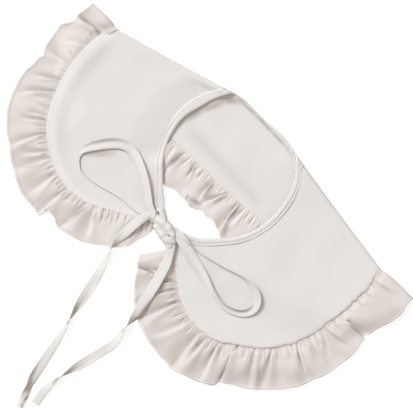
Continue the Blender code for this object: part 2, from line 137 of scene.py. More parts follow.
# Creases of the ruffle, each from a gather at the seam outwards. at is its place along the hem
# of its panel and lean how far it has gone along the hem at the outer edge; reach is a share of
# the ruffle's width, depth 0 to 1 of the cloth's rise, width half the crease's width on its
# steep side, ridge the extra rise of the cloth beside it, notch how far it draws the edge in, lap
# how far the cloth beside it folds over it, line how dark its painted line of shade gets inside,
# begin the share of the width where it starts, and side is -1 where it faces the other way from
# its neighbours.
Crease = namedtuple(
    "Crease", "at lean reach depth width ridge notch lap line begin side",
    defaults=(0.0, 0.0, 0.0, 0.2, 0.0, 1),
)
LEFT_CREASES = [
    (6, -2, 1.1, 0.9, 2.4, 0.8),
    (13, -4, 1.1, 0.8, 2.2, 1),
    (18, 18, 0.7, 0.5, 4, 0.6, 0, 0, 0.06, 0.1),
    (28, 0, 0.2, 0.6, 1.6, 0.2),
    (36, 0, 0.3, 0.6, 1.6, 0.2),
    (41, 0, 0.4, 0.5, 1.8, 0.2),
    (46, -1, 0.3, 0.7, 1.5, 0.3),
    (52, -2, 0.42, 0.9, 1.6, 0.6, 0, 0, 0.4),
    (61.9, 0, 1, 0.8, 2.8, 0.8, 0, 0, 0.25),
    (70.8, 11, 1.2, 1, 4.4, 2, 1, 2.5, 0.4),
    (77, 3, 0.2, 0.7, 1.3, 0.2),
    (82, 2, 0.2, 0.7, 1.3, 0.2),
    (88.5, 2, 0.3, 0.8, 1.5, 0.3, 0, 0, 0.35),
    (95.5, 5, 1.2, 1, 3, 1.4, 0, 2, 0.3),
    (100, 2, 0.18, 0.7, 1.2, 0.2),
    (104.2, 2, 0.16, 0.7, 1.2, 0.2),
    (109, 2, 0.18, 0.6, 1.2, 0.2),
    (114.4, 2, 0.95, 0.9, 3.6, 1, 0, 0, 0.3),
    (122, 0, 0.2, 0.6, 1.3, 0.2),
    (130.6, 5, 1.15, 0.95, 3.6, 1.4, 0.6, 1.4, 0.3),
    (137.4, 8, 0.75, 0.9, 2.4, 0.8),
    (146, 0, 0.25, 0.6, 1.5, 0.2),
    (155.4, -6, 1.1, 0.95, 2.2, 1, 0.5, 1.2, 0.35),
    (162, 0, 0.25, 0.5, 1.6, 0.2),
    (168.1, 0, 0.62, 0.9, 2, 0.8, 0, 0, 0.4),
    (173.1, 1, 0.5, 0.7, 2, 0.4, 0, 0, 0.2, 0.08),
    (181, 0, 0.3, 0.5, 1.8, 0.2),
    (189, -2, 0.5, 0.5, 3, 0.2),
    (198.4, -14, 0.85, 0.9, 2.4, 0.9, 0, 1, 0.4),
    (211.8, -11, 0.75, 0.9, 2.4, 0.8, 0, 0, 0.35),
    (220, 3, 0.2, 0.5, 1.6, 0.2, 3.6),
    (229, 1, 1, 0.9, 2.8, 0.8, 0, 0, 0.3),
    (238, 0, 0.3, 0.5, 2, 0.2),
    (254.5, -14, 0.6, 0.5, 3.6, 0.5, 0, 0, 0.06),
    (265, 0, 0.25, 0.5, 2, 0.2, 0, 0, 0.04),
    (272.8, 1, 1.2, 1, 3.6, 2.4, 0, 2.5, 0.55, 0.05),
]
BACK_CREASES = [
    (130.5, 8, 0.8, 0.5, 2.6, 0.4),
    (141.9, 0, 0.9, 1, 3, 1.4, 0, 2.5, 0.7),
    (150, -3, 0.3, 0.7, 1.6, 0.4),
    (157, 9, 0.5, 0.9, 1.6, 0.8, 0, 0, 0.6),
    (168, 4, 0.3, 0.8, 1.6, 0.5, 0, 0, 0.4),
    (181.8, 3, 0.8, 1, 3.6, 2.2, 0, 3, 0.7),
    (200.8, -13, 0.9, 0.9, 2.2, 1.6, 0, 3, 0.7),
    (215.2, 4, 1.2, 1, 3, 1.4, 0.6, 2.5, 0.75),
    (223.8, 0, 0.7, 0.9, 2.2, 0.9, 0, 0, 0.4),
    (230.5, 4, 0.25, 0.7, 1.6, 0.3),
    (237, 4, 0.25, 0.7, 1.6, 0.3),
]
RIGHT_CREASES = [
    (11, -6, 0.7, 0.5, 2.6, 0.4),
    (24, 0, 0.3, 0.5, 2, 0.2),
    (36, 0, 0.3, 0.5, 2, 0.2),
    (48, 0, 0.2, 0.5, 1.8, 0.2),
    (58.6, -4, 1.2, 1, 3.2, 1.2, 3.4, 3, 0.42, 0.3, -1),
    (68, 0, 0.3, 0.5, 1.8, 0.2),
    (78.8, -7, 0.75, 0.7, 2.6, 0.5),
    (82, 12, 0.7, 0.7, 2.2, 0.5),
    (90.5, 2, 0.35, 0.6, 1.8, 0.3),
    (97.5, 3, 0.8, 0.7, 2.6, 0.6),
    (103, 2, 0.25, 0.6, 1.5, 0.2),
    (109.8, 7, 1.15, 0.9, 1.7, 0.9, 0.4, 2, 0.5),
    (120, 1, 0.35, 0.5, 1.8, 0.3),
    (130.4, 2, 0.35, 0.8, 1.5, 0.4),
    (135.4, 11, 1.15, 0.95, 2.4, 1.2, 0.4, 1.8, 0.4),
    (143.8, 6, 0.35, 0.8, 1.6, 0.3),
    (151.8, 4, 1.1, 0.9, 2.4, 1, 0.3),
    (161, 2, 0.3, 0.6, 1.8, 0.3),
    (169.6, 6, 1.3, 1, 1.9, 1.4, 2.4, 5, 0.95),
    (182.2, 2, 0.32, 0.8, 1.5, 0.4),
    (188.2, 3, 1, 1, 2.6, 1.2, 0, 1.6, 0.4),
    (195.6, 2, 0.25, 0.8, 1.4, 0.4),
    (201.7, 4, 0.75, 0.9, 2.2, 0.8, 0, 0, 0.3),
    (209.6, 3, 1.2, 1, 4.6, 2.2, 1.2, 2.6, 0.35),
    (219.2, 1, 0.25, 0.7, 1.6, 0.3),
    (225.5, 13, 0.95, 0.7, 3, 0.6),
    (229.2, 6, 0.2, 0.8, 1.3, 0.3),
    (234.8, 8, 0.35, 0.6, 1.4, 0.3),
    (245.6, 5, 1.1, 1, 2.8, 1.4, 0.4, 2, 0.35),
    (251.5, 8, 0.3, 0.6, 1.6, 0.3),
    (257.6, 12, 0.55, 0.9, 1.8, 0.6, 0, 0, 0.3),
    (265, 20, 0.6, 0.9, 2, 0.8, 0, 0, 0.35),
    (275.2, 14, 1.2, 1, 2.6, 1.4, 1.4, 3, 0.6, 0.35),
    (288, 4, 0.5, 0.3, 2.6, 0.2, 0, 0, 0.05),
]
CREASES = {"left": LEFT_CREASES, "back": BACK_CREASES, "right": RIGHT_CREASES}
# Where the ruffle's edge leaves its sections: px, py, radius and how far out, or in below 0
EDGE_SHIFTS = [
    (81, 15.5, 5, 3.4),
    (74, 22.5, 3.4, -4),
    (64, 28, 5, 3),
    (51, 35, 8, -1.6),
    (44, 55, 3.5, 1.8),
    (12, 165, 10, 1),
    (20, 190, 13, 2),
    (39, 213.5, 3.4, 1.6),
    (44, 218, 2.5, -8),
    (47, 220.5, 3.2, -6),
    (51, 223.5, 4, -5.5),
    (61, 229, 4, 1),
    (78, 240, 8, 1.6),
    (105, 246, 5, -1.8),
    (134, 243, 8, 1.6),
    (174, 190, 8, -1.8),
    (190, 205, 4, 2.6),
    (200, 212, 4, -2.6),
    (211, 224, 10, -5),
    (361, 345, 4, -2.2),
    (340, 366, 9, -1.2),
    (315, 381, 7, -1.4),
    (230, 387, 11, -2.4),
    (212, 385, 6, 1.8),
    (187, 378, 6, -1.2),
    (172, 367, 7, 2.6),
    (137, 264, 7, 1.2),
]
# Deep pockets of the ruffle: painted shade where their insides lie in shade, and how far they dip
Pocket = namedtuple("Pocket", "start end radius shade dip", defaults=(0.0,))
POCKETS = [
    ((79, 15.5), (89, 24), 2.2, 0.66, 2),
    ((86, 23), (93, 27), 1.3, 0.4, 1),
    ((95, 28), (101, 35), 1.5, 0.5, 1.5),
    ((98.5, 26), (106, 27), 3, 0.28, 0.4),
    ((47, 77.5), (60, 80.5), 1.1, 0.38, 0.5),
    ((34, 92), (52, 90.5), 1.2, 0.36, 0.5),
    ((40, 119), (47, 120.5), 1, 0.38, 0.3),
    ((39, 138), (48, 134), 1, 0.38, 0.3),
    ((40, 153.5), (48, 155), 1, 0.36, 0.3),
    ((20, 168), (42, 164.5), 2.6, 0.26, 0.3),
    ((48, 175), (56, 175.5), 1, 0.42, 0.3),
    ((61, 195.5), (68, 191.5), 1.1, 0.4, 0.3),
    ((45, 209.5), (51.5, 214.5), 1.9, 0.42, 0.5),
    ((57, 225), (76, 217), 3.2, 0.3, 0.3),
    ((73, 218.5), (85, 207.5), 2, 0.58, 1.2),
    ((93, 222), (96, 213), 1.3, 0.38, 0.3),
    ((128, 240), (150, 224), 5, 0.16, 0.3),
    ((171.5, 165.5), (182, 155.5), 1.5, 0.6, 0.8),
    ((193, 171.5), (196, 164), 1, 0.5, 0.4),
    ((205, 196), (213.5, 182.5), 2.2, 0.55, 1),
    ((215, 203), (226, 196.5), 1.5, 0.5, 0.6),
    ((190, 199), (200, 204.5), 2.4, 0.5, 1.2),
    ((227, 221), (241, 205), 1.8, 0.62, 0.8),
    ((222, 237), (228, 222), 3.2, 0.5, 0.5),
    ((138, 267), (154, 272.5), 1.2, 0.85, 1.6),
    ((141, 274), (146, 285), 4.6, 0.06),
    ((157, 293), (166, 281), 3.6, 0.3, 0.4),
    ((163, 276.5), (175.5, 281.5), 1, 0.6, 0.6),
    ((167, 288.5), (178, 289.5), 0.9, 0.5, 0.3),
    ((167, 304.5), (180, 300.5), 1.1, 0.6, 0.5),
    ((154, 310), (167, 305), 2.6, 0.3, 0.3),
    ((145, 314), (150, 300), 2.4, 0.34, 0.2),
    ((184, 348), (196, 335.5), 2.4, 0.36, 0.3),
    ((171, 366.5), (181.5, 352.5), 3.2, 0.4, 0.4),
    ((209.5, 357), (214, 348), 1, 0.46, 0.3),
    ((216.5, 385), (229, 364), 1.5, 0.5, 0.4),
    ((251, 387), (252, 366), 3, 0.24, 0.2),
    ((250, 357), (254, 350), 0.9, 0.42, 0.3),
    ((268.5, 361), (271.5, 351), 0.9, 0.46, 0.3),
    ((176, 345), (206, 366), 12, 0.04),
    ((222, 374), (286, 376), 12, 0.3),
    ((152, 288), (168, 310), 9, 0.2),
    ((280, 378), (312, 376), 8, 0.27),
    ((186, 199.5), (188, 195), 0.8, 0.8, 0.4),
    ((348.5, 324.5), (363, 336), 1.2, 0.5, 0.8),
    ((351, 322), (363, 331), 3, 0.2),
]
# Soft shade on the back's cloth beside what lies over it, and on the left front beside its loop
BACK_SHADES = [
    ((188, 120), (204, 109.8), 2.6, 0.4),
    ((200, 111.4), (226, 101), 3.2, 0.46),
    ((222, 101.4), (240, 101.2), 3, 0.42),
    ((236, 96.5), (246, 104.5), 2, 0.45),
    ((244, 104.5), (256, 114.8), 1.5, 0.45),
    ((256, 114.8), (271.5, 131.2), 1.4, 0.5),
    ((271.5, 131.2), (284, 145), 1.3, 0.4),
    ((284, 145), (292, 158), 1.4, 0.15),
]
LOOP_SHADES = [
    ((88, 154.6), (114, 153.4), 3, 0.36),
]
# Deep shade where the ties twist or lie under one another
TIE_SHADES = [
    ((141, 224), (152, 216), 2.2, 0.3),
    ((128, 327), (139, 316), 1.5, 0.75),
    ((121.5, 331.5), (124, 327.5), 0.9, 0.9),
    ((139, 317), (151.5, 300), 2, 0.55),
    ((67.5, 323), (70, 318), 1, 0.9),
    ((71, 316.5), (78, 303), 2.2, 0.34),
    ((26.5, 391), (31, 380), 1.8, 0.34),
    ((24, 401), (28.5, 396), 1.6, 0.85),
    ((21, 408), (23.5, 402), 1, 0.7),
    ((53, 384), (59, 377.5), 1, 0.7),
    ((59, 376), (70, 369.5), 1.8, 0.42),
    ((190.5, 243.5), (213, 260.5), 1.2, 0.4),
    ((79.5, 151), (78, 166), 1.8, 0.2),
]
# Pits and creases of the knot: their painted shade and how deep they dip
KNOT_CREASES = [
    ((157.6, 211.8), (159.6, 215.2), 0.9, 0.9, 4),
    ((152, 227.8), (154, 229.2), 1, 0.95, 3),
    ((168.3, 234.6), (170.4, 236.8), 0.7, 0.9, 2.4),
    ((156.5, 225), (167, 232.5), 1.6, 0.12, 0.8),
    ((170.5, 238.5), (172.3, 243), 0.6, 0.2, 0.5),
    ((173.5, 237.5), (175.2, 241.5), 0.5, 0.2, 0.4),
    ((167, 244.2), (175, 244), 0.8, 0.22, 0.8),
    ((161, 216.5), (165, 220.5), 0.8, 0.1, 0.5),
    ((156.5, 206), (157.5, 212), 0.6, 0.15, 0.4),
    ((166, 247), (167, 251), 0.6, 0.12, 0.4),
]
# Lines along which a tail of the bow presses the ruffle down: start, end and the height left
PRESSED = [((171, 244), (136, 313), 3.2), ((154, 214), (112, 247), 2.4)]
PRESSED_REACH = 5.5
PRESSED_SLOPE = 0.6
FREE_HEIGHT = 20.0
# Stretches of the hem where the ruffle lies calmer than elsewhere
Calm = namedtuple("Calm", "panel at reach share")
CALM_STRETCHES = [Calm("right", 26, 30, 0.75), Calm("left", 62, 16, 0.3)]

# The stretch of the back's ruffle that the fronts leave in view, and how they press the rest flat
SHOWN_BACK = (124.0, 246.0)
UNDER_NECK = 0.9
UNDER_REACH = 42.0
UNDER_RISE = 0.1

# The ruffle's strip, its gathers and its hem, whose lines are at shares of the ruffle's width
FOLD_LENGTH = 10.0
FOLD_BULGE = {"left": 1.0, "right": 1.2}
FOLD_BULGE_REACH = 12.0
HIDDEN_PITCH = 11.0
GATHER_PITCH = 4.6
RUFFLE_TUCK = 0.045
RUFFLE_WIDTH = 38.0
RUFFLE_FULLNESS = 1.55
HEM_WIDTH = 2.6
HEM_FOLD = 0.965
HEM_FOLD_WIDTH = 0.022
HEM_STITCHES = 0.925
HEM_STITCH_WIDTH = 0.012
HEM_STITCH_SHADE = 0.3
HEADING_STEP = 1.5
END_TAPER = 6.0

# Profile of a crease: its widening outwards, its two sides, its painted dark line of shade and
# its depth, and how much painted shade its valley and a gather's valley get
SEAM_WIDTH = 0.34
WIDENING = 0.9
GENTLE_SIDE = 1.9
STEEP_SIDE = 1.0
STEEPENING = 0.65
LINE_HALF_WIDTH = 0.65
CREASE_DEPTH = 0.97
CREASE_SHADE = 0.16
GATHER_DEPTH = 0.9
GATHER_SHADE = 0.26
# How far along the hem a crease and a gather still matter
CREASE_SIGHT = 34.0
GATHER_SIGHT = 6.0

# How far the cloth puffs up beside the seam of each panel, and how it waves further out
# shade is painted shade over a whole panel, and painted light below 0; hem is how far its hem line
# lightens
PanelLook = namedtuple("PanelLook", "root puff wave ridge gentle shade gather hem")
PANEL_LOOKS = {
    "left": PanelLook(1.3, 0.8, 2.1, 0.85, 1.0, 0.0, 0.45, 0.4),
    "left_fold": PanelLook(1.0, 1.2, 2.0, 1.0, 1.0, 0.0, 0.8, 0.4),
    "back": PanelLook(0.9, 1.6, 2.3, 0.9, -1.0, -0.2, 0.7, 0.6),
    "right_fold": PanelLook(0.5, 1.2, 2.6, 1.2, 1.0, 0.02, 0.8, 0.7),
    "right": PanelLook(0.3, 1.8, 3.5, 1.3, 1.0, 0.06, 0.8, 0.6),
}

# Routes of the ties, by the pixels of the photo that their middles pass through. low is the
# height of the lower side over the front's underside, or over the floor past the front, and
# roll turns the strap; right and left are how far the edge on that side of the route curls up.
TiePoint = namedtuple("TiePoint", "px py low roll width right left", defaults=(0.0, 0.0))
LOOP_LEFT = [
    (153.5, 214, 3.6, -10, 7),
    (149.8, 206, 2.7, -18, 8),
    (147.8, 196, 2, -22, 9, 0, 0.3),
    (146, 185, 1.9, -24, 9.3, 0, 0.3),
    (143.5, 174.5, 1.9, -24, 9.3, 0, 0.3),
    (140, 164.5, 1.8, -18, 9.3, 0, 0.2),
    (135.2, 154.8, 1.7, -5, 9.2, 0.5),
    (128.8, 147.7, 1.4, 4, 9.6, 1.4),
    (119.6, 144, 1.3, 8, 10.2, 2.4),
    (109.4, 143.8, 1.3, 10, 10.4, 2.8),
    (98.8, 145.2, 1.3, 10, 10, 2.6),
    (89, 147.6, 1.2, 12, 8.6, 1.8),
    (81.8, 151, 1, 22, 6.4, 1),
    (78.4, 156.6, 0.7, 24, 5, 0.3),
    (78.2, 164, 0.7, 38, 4),
    (81.2, 171.8, 0.9, 62, 3),
    (90, 179.5, 1.2, 82, 2.6),
    (100, 186.3, 1.2, 82, 2.6),
    (110, 191.8, 1.2, 82, 2.6),
    (120, 198.2, 1.2, 82, 2.6),
    (129, 206, 1.6, 82, 2.6),
    (138, 212.8, 1.6, 74, 3),
    (146, 217, 2, 52, 4.4),
    (154, 221, 2.6, 40, 6),
]
LOOP_RIGHT = [
    (177, 233, 3.6, -5, 9, 0.5),
    (184.5, 244.5, 2.8, -5, 10.6, 1.2, 0.3),
    (191.5, 256, 2, -3, 10.6, 1.6, 0.4),
    (197.5, 265.5, 1.8, 2, 10, 1.8, 0.4),
    (203, 274.5, 1.8, 10, 8.8, 1.6, 0.4),
    (208, 283.5, 1.8, 26, 7.2, 1.2, 0.6),
    (212.5, 292, 1.8, 42, 6.2, 0.8, 1),
    (218, 300, 1.8, 40, 6, 0.6, 1.6),
    (226, 307.5, 1.8, 24, 6.4, 0.4, 2.2),
    (236, 312.3, 1.8, 8, 6.8, 0.4, 2.8),
    (246.5, 312.8, 1.8, -4, 7.4, 0.2, 2.8),
    (254.3, 308, 1.9, -14, 8.6, 0, 1.6),
    (256.6, 299.6, 2, -20, 9.6, 0, 0.4),
    (254.4, 291, 2, -28, 9.4),
    (250.3, 284, 2, -46, 8),
    (244.5, 278.5, 1.9, -62, 6),
    (236, 273.3, 1.8, -70, 4.6),
    (226, 268.3, 1.8, -74, 3.8),
    (215, 262.2, 1.8, -78, 3.4),
    (204, 255.6, 1.8, -80, 3.2),
    (194.5, 248.6, 2, -74, 3.4),
    (186, 240.5, 2.6, -45, 7),
    (178, 231.5, 3, -20, 7),
]
TAIL_LEFT = [
    (156, 215.6, 4.6, 10, 7),
    (149, 215.2, 4.2, 6, 8),
    (140.5, 219.6, 3.8, 10, 9.6),
    (132.5, 226, 3.6, 10, 9.8, 0.2),
    (125.4, 232.8, 3.5, 4, 9.2, 0.2),
    (118.2, 239.6, 3.4, -20, 6.6, 0.2),
    (112.4, 246.6, 2.4, -76, 6.4),
    (108.7, 253.8, 0.6, -112, 6.8),
    (105.2, 261, 0, -130, 7.6),
    (101.2, 268.8, 0, -150, 8.4),
    (96.6, 276.8, 0, -172, 8.9),
    (91.6, 284.8, 0, -180, 9.1, 0, 1),
    (86.3, 292.8, 0, -190, 9.2, 0, 2.6),
    (81, 301, 0, -206, 9, 0, 3),
    (76, 309.2, 0, -230, 8.4, 0, 2),
    (71.4, 317, 0, -258, 7.4),
    (67, 324.6, 0, -300, 6.6),
    (62, 332.6, 0, -332, 6.6),
    (56.4, 341.6, 0, -350, 7.4),
    (50.6, 350.6, 0, -360, 8.6),
    (44.8, 359.6, 0, -362, 9.2, 0.4),
    (39.2, 368.2, 0, -368, 9.4, 1.6),
    (34, 376.8, 0, -380, 9.2, 2.6),
    (29.8, 385.4, 0, -404, 8.6, 2),
    (26, 393.2, 0, -378, 8, 0.6),
    (22.6, 400.2, 0, -356, 7),
    (19.8, 407, 0, -348, 6.6),
]
TAIL_RIGHT = [
    (171.5, 244, 4.6, 0, 8),
    (170, 253, 4.6, 0, 8),
    (166.2, 263.5, 4.6, 6, 9.8, 0, 0.4),
    (160.8, 274, 4.6, 8, 10.2, 0, 0.4),
    (154.8, 284.4, 4.6, 8, 10.4, 0, 0.4),
    (148.6, 294.6, 4.6, 6, 10.4, 0, 0.2),
    (142.6, 304.6, 4.8, 0, 10.2, 0, -1),
    (136.8, 313.6, 4.4, -18, 9.6, 0, -1.4),
    (130.6, 321.4, 2.8, -60, 8.4, 0, -1.4),
    (125, 328.8, 1, -106, 8),
    (120.6, 335.6, 0, -132, 7.4),
    (116, 341.4, 0, -152, 8),
    (109.6, 346.8, 0, -174, 8.8),
    (102, 351.4, 0, -180, 9, 0, 0.2),
    (94, 356.2, 0, -181, 9, 0, 0.8),
    (86.2, 360.8, 0, -186, 9, 0, 2),
    (78.8, 365.2, 0, -200, 8.8, 0, 2.8),
    (71.8, 369.6, 0, -224, 8.2, 0, 2),
    (65.2, 373.8, 0, -250, 7.4, 0, 0.6),
    (59.6, 377.4, 0, -282, 6.8),
    (54.4, 381.2, 0, -316, 7),
    (49.2, 385.6, 0, -340, 7.6),
    (44.2, 391.2, 0, -354, 8.2),
    (39.6, 397.2, 0, -360, 8.6),
    (35.4, 403.4, 0, -360, 8.6),
]

# The knot: rounded folds of the two ties over each other, by px, py, half width and top
KNOT_BOTTOM = 1.8
KNOT_FOLDS = [
    [
        (157, 219.5, 4.6, 7.8),
        (163, 222.5, 5.2, 8.6),
        (168.5, 228, 5.2, 8.8),
        (171.8, 235, 4.8, 8.6),
        (172.5, 241.5, 4.2, 7.8),
    ],
    [
        (157.3, 227, 4.4, 7.2),
        (162.5, 234, 5, 8.2),
        (167, 240, 4.8, 8),
        (169.5, 244, 3.8, 7.2),
    ],
    [
        (160, 212.5, 5.8, 6.8),
        (161.5, 219, 6, 8),
    ],
    [
        (169.5, 241.5, 5.6, 7.2),
        (169.8, 245.4, 4.9, 6.5),
    ],
]


def clamp(value, low=0.0, high=1.0):
    return max(low, min(high, value))


def ease(share):
    """Smooth step from 0 to 1."""
    share = clamp(share)
    return share * share * (3.0 - 2.0 * share)


def bell(distance, width):
    return math.exp(-((distance / width) ** 2))


def quarter_round(near):
    """Height of a rounded edge at a share of its width from the outside."""
    return math.sqrt(clamp(1.0 - (1.0 - clamp(near)) ** 2))


def waver(x, y, seed):
    """Smooth noise at a place, about -1 to 1."""
    return noise.noise(Vector((x, y, seed)))


def wander(count, seed):
    """A number from 0 to 1 that looks random, the same each run."""
    return (math.sin(count * 12.9898 + seed * 78.233) * 43758.5453) % 1.0


def smooth(rows, place):
    """Values on a smooth curve through all rows, at a place counted in rows."""
    last = len(rows) - 1
    place = clamp(place, 0.0, float(last))
    row = min(int(place), last - 1)
    t = place - row
    p1, p2 = rows[row], rows[row + 1]
    p0 = rows[row - 1] if row > 0 else [2 * a - b for a, b in zip(p1, p2)]
    p3 = rows[row + 2] if row + 2 <= last else [2 * b - a for a, b in zip(p1, p2)]
    return [
        b + 0.5 * t * (c - a + t * (2 * a - 5 * b + 4 * c - d + t * (3 * (b - c) + d - a)))
        for a, b, c, d in zip(p0, p1, p2, p3)
    ]


def on_plan(px, py, z=0.0):
    """Point of the collar's plan under a pixel of the photo."""
    scale = PHOTO_SIDE / PHOTO_PIXELS
    right = Vector((math.cos(PHOTO_TURN), math.sin(PHOTO_TURN), 0.0))
    away = right * (px - PHOTO_PIXELS / 2.0) - UP.cross(right) * (py - PHOTO_PIXELS / 2.0)
    return Vector((VIEW_CENTRE.x, VIEW_CENTRE.y, z)) + away * scale


def nearest(place, start, end):
    """Share of the line from start to end that is nearest to a place, and how far away it is."""
    along = clamp((place - start).dot(end - start) / (end - start).length_squared)
    return along, (place - start.lerp(end, along)).length


def level_way(start, end):
    """Level direction from start to end, or next to nothing where they meet."""
    way = Vector((end.x - start.x, end.y - start.y, 0.0))
    return way.normalized() if way.length > 0.01 else way


# The cloth's lie

@lru_cache(maxsize=None)
def section(panel, share):
    """Plan points of a panel on its four lines, at a share of its length."""
    rows = PANELS[panel]
    place = share * (len(rows) - 1)
    return [Vector(smooth([row[line] for row in rows], place)) for line in range(EDGE + 1)]


def panel_plan(panel, share, line):
    """Plan point of a panel, at a share of its length and at a line across it."""
    inner = min(int(line), SEAM)
    points = section(panel, share)
    return points[inner].lerp(points[inner + 1], line - inner)


def back_hem(x):
    """Plan Y of the outer edge of the back's ruffle at x."""
    edge = [row[EDGE] for row in BACK]
    for (x0, y0), (x1, y1) in zip(edge, edge[1:]):
        if x0 <= x <= x1:
            return y0 + (y1 - y0) * (x - x0) / (x1 - x0)
    return edge[0][1]


def front_lift(x, y):
    """Height of a front's underside: on the back first, then draped to the floor."""
    foot = back_hem(x) - DRAPE_MARGIN - DRAPE_RUN
    puff = sum(
        p.height * math.exp(-((x - p.x) ** 2 + (y - p.y) ** 2) / (2 * p.radius ** 2))
        for p in PUFFS
    )
    return ease((y - foot) / DRAPE_RUN) * (FRONT_LIFT + puff)


def in_fold(station):
    """Whether a station is on one of the shoulder folds."""
    return 1.0 < station < 2.0 or 3.0 < station < 4.0


def fold_turn(station):
    """How far a shoulder fold has turned over at a station: 0 on its front and 1 on the back."""
    return station - 1.0 if station < 2.0 else 4.0 - station


def cloth(station, line):
    """Point on the cloth's underside, and the way in which its waves rise."""
    if station <= 1.0 or station >= 4.0:
        panel, share = ("left", station) if station <= 1.0 else ("right", station - 4.0)
        plan = panel_plan(panel, share, line)
        droop = NECK_DROOP * ease((1.0 - station) / DROOP_END_RUN)
        droop *= ease((station - DROOP_START) / DROOP_RUN)
        droop *= 1.0 - ease((line - 0.95) / 0.35)
        return Vector((plan.x, plan.y, front_lift(plan.x, plan.y) - max(droop, 0.0))), UP
    if 2.0 <= station <= 3.0:
        plan = panel_plan("back", station - 2.0, line)
        return Vector((plan.x, plan.y, 0.0)), UP
    side, front_end, back_end = ("left", 1.0, 0.0) if station < 2.0 else ("right", 0.0, 1.0)
    upper, lower = panel_plan(side, front_end, line), panel_plan("back", back_end, line)
    turn = math.pi * fold_turn(station)
    outward = FOLD_OUTWARD[side]
    axis = upper.lerp(lower, 0.5 - 0.5 * math.cos(turn))
    radius = front_lift(upper.x, upper.y) / 2.0
    reach = radius * (NECK_FOLD_REACH + (1.0 - NECK_FOLD_REACH) * ease(line))
    plan = axis + outward * (reach * math.sin(turn))
    rise = Vector((*(outward * math.sin(turn)), math.cos(turn)))
    return Vector((plan.x, plan.y, radius * (1.0 + math.cos(turn)))), rise


class HemLine:
    """Marks along the hem seam, the stations they fall on and the marks where the panels start."""

    STEPS = 240

    def __init__(self):
        self.marks, self.stations, self.starts = [0.0], [0.0], {}
        for part, name in enumerate(PANEL_LOOKS):
            self.starts[name] = self.marks[-1]
            if name in PANELS:
                points = [section(name, step / self.STEPS)[SEAM] for step in range(self.STEPS + 1)]
                steps = [(b - a).length for a, b in zip(points, points[1:])]
            else:
                steps = [FOLD_LENGTH]
            for count, step in enumerate(steps, 1):
                self.marks.append(self.marks[-1] + step)
                self.stations.append(part + count / len(steps))
        self.length = self.marks[-1]

    def station(self, mark):
        mark = clamp(mark, 0.0, self.length)
        row = min(bisect_right(self.marks, mark), len(self.marks) - 1)
        low, high = self.marks[row - 1], self.marks[row]
        share = (mark - low) / (high - low)
        return self.stations[row - 1] + share * (self.stations[row] - self.stations[row - 1])


HEM = HemLine()


def panel_at(mark):
    return [name for name, start in HEM.starts.items() if start <= mark][-1]


def shown_back(mark):
    """Whether a mark falls where the fronts leave the back's ruffle in view."""
    return SHOWN_BACK[0] < mark - HEM.starts["back"] < SHOWN_BACK[1]


def hidden(mark):
    """Whether a front lies over the back's ruffle at a mark."""
    return panel_at(mark) == "back" and not shown_back(mark)


# The ruffle

def main_creases():
    """Creases by their marks, with plain ones where the fronts hide the back."""
    found = [
        Crease(at + HEM.starts[panel], *rest)
        for panel, rows in CREASES.items() for at, *rest in rows
    ]
    place, count = HEM.starts["back"] + HIDDEN_PITCH, 0
    while place < HEM.starts["right_fold"] - HIDDEN_PITCH / 2.0:
        if not shown_back(place):
            uneven = wander(count, 1)
            found.append(Crease(
                at=place, lean=6.0 * uneven - 3.0, reach=0.4 + 0.8 * uneven, depth=0.8,
                width=2.0 + uneven, ridge=0.4, notch=0.4,
            ))
        place += HIDDEN_PITCH * (0.7 + 0.7 * wander(count, 2))
        count += 1
    return sorted(found)


def fine_gathers():
    """Short puckers all along the seam, between the creases."""
    found, place, count = [], 2.0, 0
    while place < HEM.length:
        found.append(Crease(
            at=place, lean=4.0 * wander(count, 3) - 2.0, reach=0.08 + 0.2 * wander(count, 4),
            depth=0.35 + 0.6 * wander(count, 5), width=0.8 + 0.5 * wander(count, 6),
        ))
        place += GATHER_PITCH * (0.55 + 0.9 * wander(count, 7))
        count += 1
    return found


class CreaseMap:
    """Creases of the whole hem, looked up by mark."""

    def __init__(self, rows, sight):
        self.rows, self.sight = rows, sight
        self.places = [row.at for row in rows]

    @lru_cache(maxsize=None)
    def near(self, mark):
        first = bisect_right(self.places, mark - self.sight)
        return self.rows[first:bisect_right(self.places, mark + self.sight)]


def line_places(rows):
    """Rows with the two ends of their lines in the plan."""
    return [(on_plan(*start).to_2d(), on_plan(*end).to_2d(), *rest) for start, end, *rest in rows]


def pocket_places(rows):
    """Pockets with their lines in the plan, and how far from their starts they still matter."""
    found = [Pocket(*row) for row in line_places(rows)]
    return [(row, (row.end - row.start).length + POCKET_SIGHT * row.radius) for row in found]


POCKET_SIGHT = 3.0
MAIN_CREASES = CreaseMap(main_creases(), CREASE_SIGHT)
FINE_GATHERS = CreaseMap(fine_gathers(), GATHER_SIGHT)
EDGE_PLACES = [(on_plan(px, py), radius, out) for px, py, radius, out in EDGE_SHIFTS]
PRESSED_PLACES = line_places(PRESSED)
POCKET_PLACES, BACK_SHADE_PLACES, LOOP_SHADE_PLACES, TIE_SHADE_PLACES, KNOT_CREASE_PLACES = map(
    pocket_places, (POCKETS, BACK_SHADES, LOOP_SHADES, TIE_SHADES, KNOT_CREASES)
)
FOLD_MIDDLES = {side: HEM.starts[side + "_fold"] + FOLD_LENGTH / 2.0 for side in FOLD_BULGE}


def pocket_at(place, rows):
    """Shade and dip of the deepest of some pockets at a place of the plan."""
    shade, dip = 0.0, 0.0
    for row, sight in rows:
        if abs(place.x - row.start.x) > sight or abs(place.y - row.start.y) > sight:
            continue
        along, away = nearest(place, row.start, row.end)
        if away < POCKET_SIGHT * row.radius:
            share = bell(away, row.radius) * (0.55 + 0.45 * math.sin(math.pi * along))
            shade, dip = max(shade, row.shade * share), max(dip, row.dip * share)
    return shade, dip


def pressed(place):
    """Greatest height of the ruffle where a tail of the bow lies over it."""
    free = FREE_HEIGHT
    for start, end, height in PRESSED_PLACES:
        _, away = nearest(place, start, end)
        free = min(free, height + PRESSED_SLOPE * max(away - PRESSED_REACH, 0.0))
    return free


